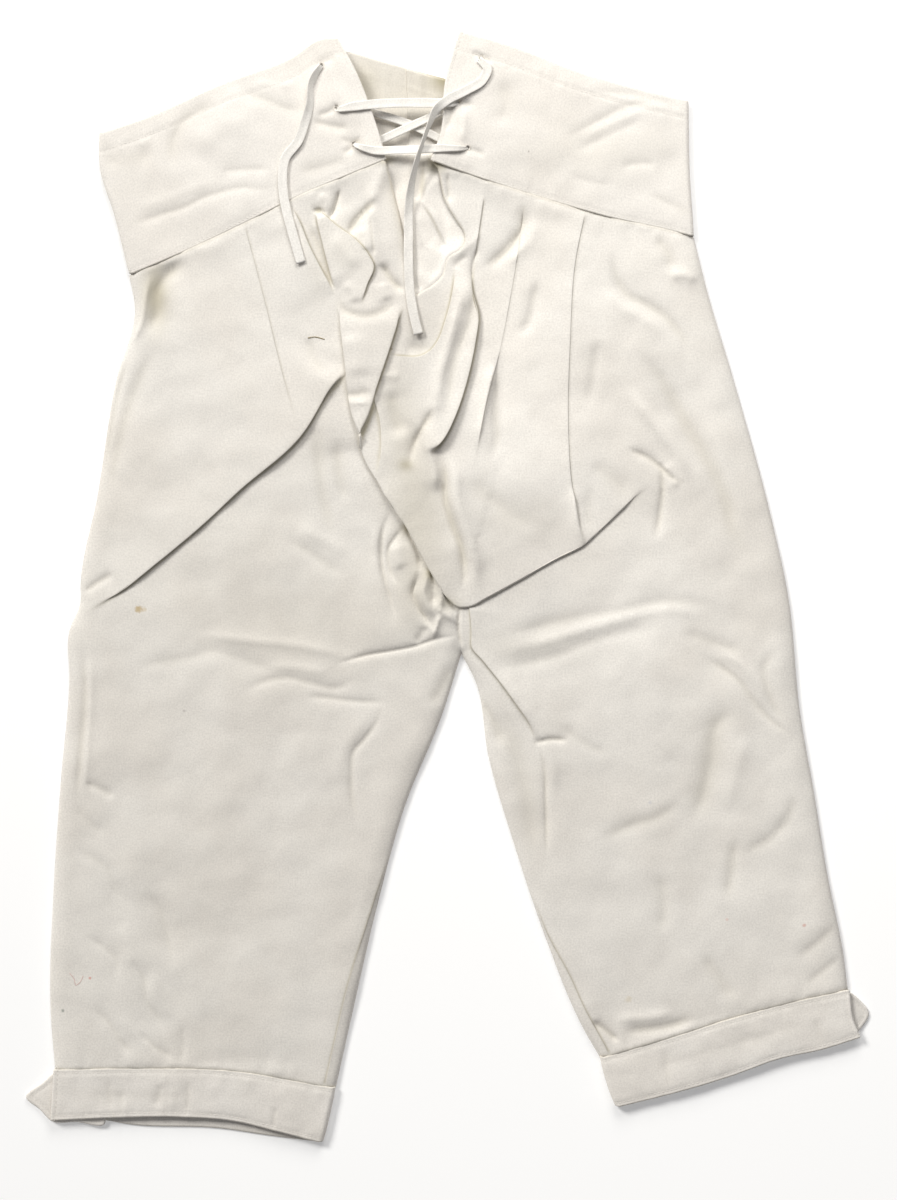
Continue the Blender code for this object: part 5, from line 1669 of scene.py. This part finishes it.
def make_waistband(finish, thread, dark_thread):
    def under_left(column):
        ripples = np.maximum(soften(column, FRONT_BAND_FOLDS)[0], 0)
        return ripples, puff_up(column, FRONT_BAND_PAINTED_SHADES)

    def under_right(column):
        part = ease((FRONT_LAP_X - column[:, 0]) / (FRONT_LAP_X - FRONT_END_LEFT[0][0] - 1))
        ripples, dark = under_left(column)
        return (FRONT_LAP_RISE + ripples) * part, dark

    def over(column):
        x = column[:, 0]
        side = np.minimum(np.abs(x - WAIST_SEAM_LEFT[0][0]), np.abs(WAIST_SEAM_RIGHT[-1][0] - x))
        relief, dark = soften(column, WAIST_FOLDS)
        rough = rumple(column, WAIST_WRINKLES)
        rough += relief + puff_up(column, WAIST_PUFFS)
        height = waist_height(x) + rough * ease(side / WAIST_SIDE_REACH)
        return height, np.maximum(dark, puff_up(column, WAIST_PAINTED_SHADES))

    made = []
    for side, over_edges, under_edges, under, outward, holes in (
        (
            "left", (WAIST_SEAM_LEFT, WAIST_TOP_LEFT, WAIST_SIDE_LEFT, WAIST_POINT_LEFT),
            (FRONT_SEAM_LEFT, FRONT_TOP_LEFT, WAIST_SIDE_LEFT, FRONT_END_LEFT),
            under_left, -1, EYELETS[:3],
        ),
        (
            "right",
            (WAIST_SEAM_RIGHT[::-1], WAIST_TOP_RIGHT[::-1], WAIST_SIDE_RIGHT, WAIST_POINT_RIGHT),
            (FRONT_SEAM_RIGHT, FRONT_TOP_RIGHT, WAIST_SIDE_RIGHT, FRONT_END_RIGHT),
            under_right, 1, EYELETS[3:],
        ),
    ):
        strip = band_strip(
            over_edges, under_edges, WAIST_COLUMNS, WAIST_ROWS, WAIST_FOLD / HALF_WAIST,
            under, over, WAIST_FOLD, outward,
        )
        piece, stitches = sew_band(
            f"waistband_{side}", strip, SEAM_STITCH_INSET, FACING_INSET, holes, finish, thread,
            both_ends=True,
        )
        rings, centres = zip(*(worked_ring(piece, place) for place in holes))
        worked = add_stitching(f"eyelets_{side}", rings, dark_thread, EYELET_SIZES, centres)
        made.append((piece, f"waistband_{side}", (stitches, worked)))
    return made


def worked_ring(piece, place):
    """A ring of places on a piece round an eyelet, and its centre, in millimetres."""
    x, y = place
    ring = np.array([
        top_of((piece,), x + EYELET_RING * math.cos(turn), y + EYELET_RING * math.sin(turn))
        for turn in np.linspace(0, 2 * math.pi, RING_POINTS)
    ])
    ring[:, 2] = np.maximum(ring[:, 2], np.median(ring[:, 2]) - RING_DROP)
    return ring, ring[:-1].mean(axis=0)


def top_of(pieces, x, y):
    """The highest place of these pieces at x and y, in millimetres."""
    heights = [0.0]
    for piece in pieces:
        hit, place, *_ = piece.ray_cast((x * MM, y * MM, 0.2), (0, 0, -1))
        if hit:
            heights.append(place.z / MM)
    return np.array([x, y, max(heights)])


def make_knee_bands(finish, thread):
    def under(column):
        return np.zeros(len(column)), np.zeros(len(column))

    def over(column):
        relief, dark = soften(column, KNEE_FOLDS)
        return 2 * KNEE_FOLD + rumple(column, KNEE_WRINKLES) + relief, dark

    made = []
    for side, seam, hem, front_hem, ends, outward in (
        (
            "left", KNEE_SEAM_LEFT[::-1], HEM_LEFT[::-1], HEM_FRONT_LEFT[::-1],
            (KNEE_INNER_LEFT[::-1], KNEE_OUTER_LEFT[::-1]), 1,
        ),
        (
            "right", KNEE_SEAM_RIGHT, HEM_RIGHT, HEM_RIGHT,
            (KNEE_INNER_RIGHT[::-1], KNEE_OUTER_RIGHT[::-1]), -1,
        ),
    ):
        strip = band_strip(
            (hem, seam, *ends), (front_hem, seam, *ends), KNEE_COLUMNS, KNEE_ROWS,
            KNEE_FOLD / KNEE_WIDTH, under, over, KNEE_FOLD, outward,
        )
        piece, stitches = sew_band(
            f"knee_band_{side}", strip, KNEE_STITCH_INSET, KNEE_STITCH_INSET, (), finish, thread
        )
        made.append((piece, f"knee_band_{side}", (stitches,)))
    return made


def make_tabs(finish, thread):
    made = []
    for side, outline, tip in (("left", TAB_LEFT, -293), ("right", TAB_RIGHT, 293.5)):
        edge = outline_of(outline + outline[:1], spacing=1.0)

        def slope(places):
            down = ease(1 - np.abs(places[:, 0] - tip) / TAB_DROP_REACH)
            across = np.abs(Line(outline + outline[:1], 1.0).measure(places)[0])
            dent = STITCH_DENT * np.exp(-(((across - TAB_STITCH_INSET) / DENT_REACH) ** 2))
            height = TAB_HEIGHT + TAB_CLOTH - TAB_DROP * down - dent
            height = height + rumple(places, TAB_WRINKLES)
            return np.column_stack([places, height, np.zeros(len(places))])

        edges = [drawn_in(edge, inset) for inset in TAB_EDGE_ROWS]
        rows = ((edges, TAB_EDGE_APART), (grid_rows(edge, TAB_GRID), TAB_GRID_APART))
        outer = drawn_in(edge, TAB_SHORT)
        piece = add_draped(f"knee_tab_{side}_cloth", outer, slope, rows, TAB_CLOTH, finish)
        seam = drawn_in(edge, TAB_STITCH_INSET)
        seam = np.array([top_of((piece,), x, y) for x, y in np.concatenate([seam, seam[:1]])])
        stitches = add_stitching(f"knee_tab_{side}_stitching", [seam], thread)
        made.append((piece, f"knee_tab_{side}", (stitches,)))
    return made


def add_tape(name, route, finish):
    """A flat woven tape along its route, and the points of its middle line."""
    curve = smooth(route, TAPE_RING)
    middle, turns, shares = curve[:, :3], np.radians(curve[:, 3]), curve[:, 4]
    along = lengths_along(middle)
    ahead = unit(np.gradient(middle, along, axis=0))
    level = unit(np.cross(ahead, (0, 0, 1)))
    upward = np.cross(level, ahead)
    across = level * np.cos(turns)[:, None] + upward * np.sin(turns)[:, None]
    facing = np.cross(across, ahead)
    places = np.array(TAPE_SECTION)
    bulge = np.sqrt(1 - np.abs(places) ** 6)
    rings, uvs = [], []
    for i, share in enumerate(shares):
        half = TAPE_WIDTH / 2 * share
        thick = TAPE_CLOTH / 2 * (1 + TAPE_SWELL * (1 - share))
        crimp = TAPE_CRIMP * (1 - share) * np.cos(3 * math.pi * places) + TAPE_CURL * places**2
        wave = noise.noise((along[i] / TAPE_WAVE_REACH, len(name), 2.0))
        crimp = crimp + TAPE_WAVE * wave * places
        over = places * half
        top = np.column_stack([over, crimp + thick * bulge])
        low = np.column_stack([over, crimp - thick * bulge])[-2:0:-1]
        section = np.concatenate([top, low])
        rings.append(middle[i] + section[:, :1] * across[i] + section[:, 1:] * facing[i])
        uvs.append(np.column_stack([section[:, 0] + TAPE_WIDTH, np.full(len(section), along[i])]))
    count, around = len(rings), len(rings[0])
    points = np.concatenate([*rings, [middle[0]], [middle[-1]]])
    uv = np.concatenate([*uvs, [[TAPE_WIDTH, 0]], [[TAPE_WIDTH, along[-1]]]])
    faces = []
    for i in range(0, (count - 1) * around, around):
        for j in range(around):
            k = (j + 1) % around
            faces.append((i + j, i + around + j, i + around + k, i + k))
    for j in range(around):
        k = (j + 1) % around
        faces.append((count * around, j, k))
        faces.append((count * around + 1, (count - 1) * around + k, (count - 1) * around + j))
    mesh = bpy.data.meshes.new(name)
    mesh.from_pydata((points * MM).tolist(), [], faces)
    mesh.shade_smooth()
    set_uv(mesh, uv)
    mesh.materials.append(finish)
    return link_new(name, mesh), middle * MM


def declare_sheet(piece, with_pieces=()):
    """Works out a cloth piece's places on the cloth and the area of its outer face, but does
    nothing with them.
    """
    along = np.array([corner.uv for corner in piece.data.uv_layers["Cloth"].data]) * MM
    # The outer face of a wall is half of its surface
    area = sum(face.area for face in piece.data.polygons) / 2
    list(with_pieces)


def add_camera():
    data = bpy.data.cameras.new("Camera")
    data.lens, data.sensor_width = LENS, SENSOR
    camera = link_new("Camera", data)
    distance = VIEW_HEIGHT * LENS / SENSOR
    camera.location = (VIEW_CENTRE[0] * MM, VIEW_CENTRE[1] * MM, (distance + REST_HEIGHT) * MM)
    bpy.context.scene.camera = camera


def add_light(name, kind, place, size, power):
    """A lamp aimed at the origin: a disk of this size across, or a sun of this angle."""
    data = bpy.data.lights.new(name, kind)
    data.energy, data.color = power, LAMP_COLOUR
    if kind == "SUN":
        data.angle = math.radians(size)
    else:
        data.shape, data.size = "DISK", size
    lamp = link_new(name, data)
    lamp.location = place
    lamp.rotation_euler = (-Vector(place)).to_track_quat("-Z", "Y").to_euler()
    lamp.visible_camera = False


def add_surroundings():
    world = bpy.data.worlds.new("Studio")
    world.use_nodes = True
    sky = world.node_tree.nodes["Background"].inputs
    sky["Color"].default_value = (*WORLD_COLOUR, 1)
    sky["Strength"].default_value = WORLD_STRENGTH
    bpy.context.scene.world = world
    for lamp in LAMPS:
        add_light(*lamp)
    mesh = bpy.data.meshes.new("floor")
    half, low = FLOOR_SIZE / 2, FLOOR_HEIGHT * MM
    corners = [(-half, -half, low), (half, -half, low), (half, half, low), (-half, half, low)]
    mesh.from_pydata(corners, [], [(0, 1, 2, 3)])
    paint, tree, shader = new_material("floor_paint")
    plug(tree, shader, {
        "Base Color": (*FLOOR_COLOUR, 1),
        "Roughness": 0.95,
        "Specular IOR Level": 0.1,
        "Emission Color": (1, 1, 1, 1),
        "Emission Strength": FLOOR_GLOW,
    })
    mesh.materials.append(paint)
    link_new("floor", mesh)
    bpy.context.scene.view_settings.view_transform = "Standard"


def settle(piece, nodes, stitching=()):
    """Binds a piece, and what is sewn on it, to the garment."""
    for part in (piece, *stitching):
        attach(part, "root")
    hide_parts(*nodes)


add_camera()
add_surroundings()
DRILL, MOTTLING, SPOT = make_drill_group(), make_mottling_group(), make_spot_group()
STITCHES = make_stitch_tree()
leg_cloth = make_cloth("cream_drill", *LEG_COLOURS, *DRILL_WEAVE, LEG_SPOTS)
front_cloth = make_cloth("cream_drill_front", *FRONT_COLOURS, *DRILL_WEAVE)
band_cloth = make_cloth("cream_band_drill", *BAND_COLOURS, *DRILL_WEAVE, BAND_SPOTS)
tape_cloth = make_cloth("white_tape", *TAPE_COLOURS, *TAPE_WEAVE)
thread = make_thread("cream_thread", THREAD_COLOUR)
eyelet_thread = make_thread("eyelet_thread", EYELET_COLOUR)

legs = make_back_legs(leg_cloth)
strays = add_stray_threads([piece for piece, _ in legs])
fronts = make_front_legs(front_cloth)
gusset = make_gusset(leg_cloth)
bands = make_waistband(band_cloth, thread, eyelet_thread)
knees = make_knee_bands(band_cloth, thread)
tabs = make_tabs(band_cloth, thread)
tapes = {name: add_tape(name + "_tape", route, tape_cloth) for name, route in LACE_ROUTES.items()}

for stray in strays:
    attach(stray, "root")
for piece, solid in legs:
    settle(piece, (solid,))
    declare_sheet(piece)
for piece, solid in fronts:
    settle(piece, (solid,))
    declare_sheet(piece)
settle(gusset, ("back_gusset",))
declare_sheet(gusset)
for piece, solid, stitching in bands + knees + tabs:
    settle(piece, (solid,), stitching)
    declare_sheet(piece, stitching)
for name, (piece, middle) in tapes.items():
    settle(piece, (name,))
    if name in LACE_EYELETS:
        x, y = LACE_EYELETS[name]
        length = lengths_along(middle)[-1]
        middle[0][2]
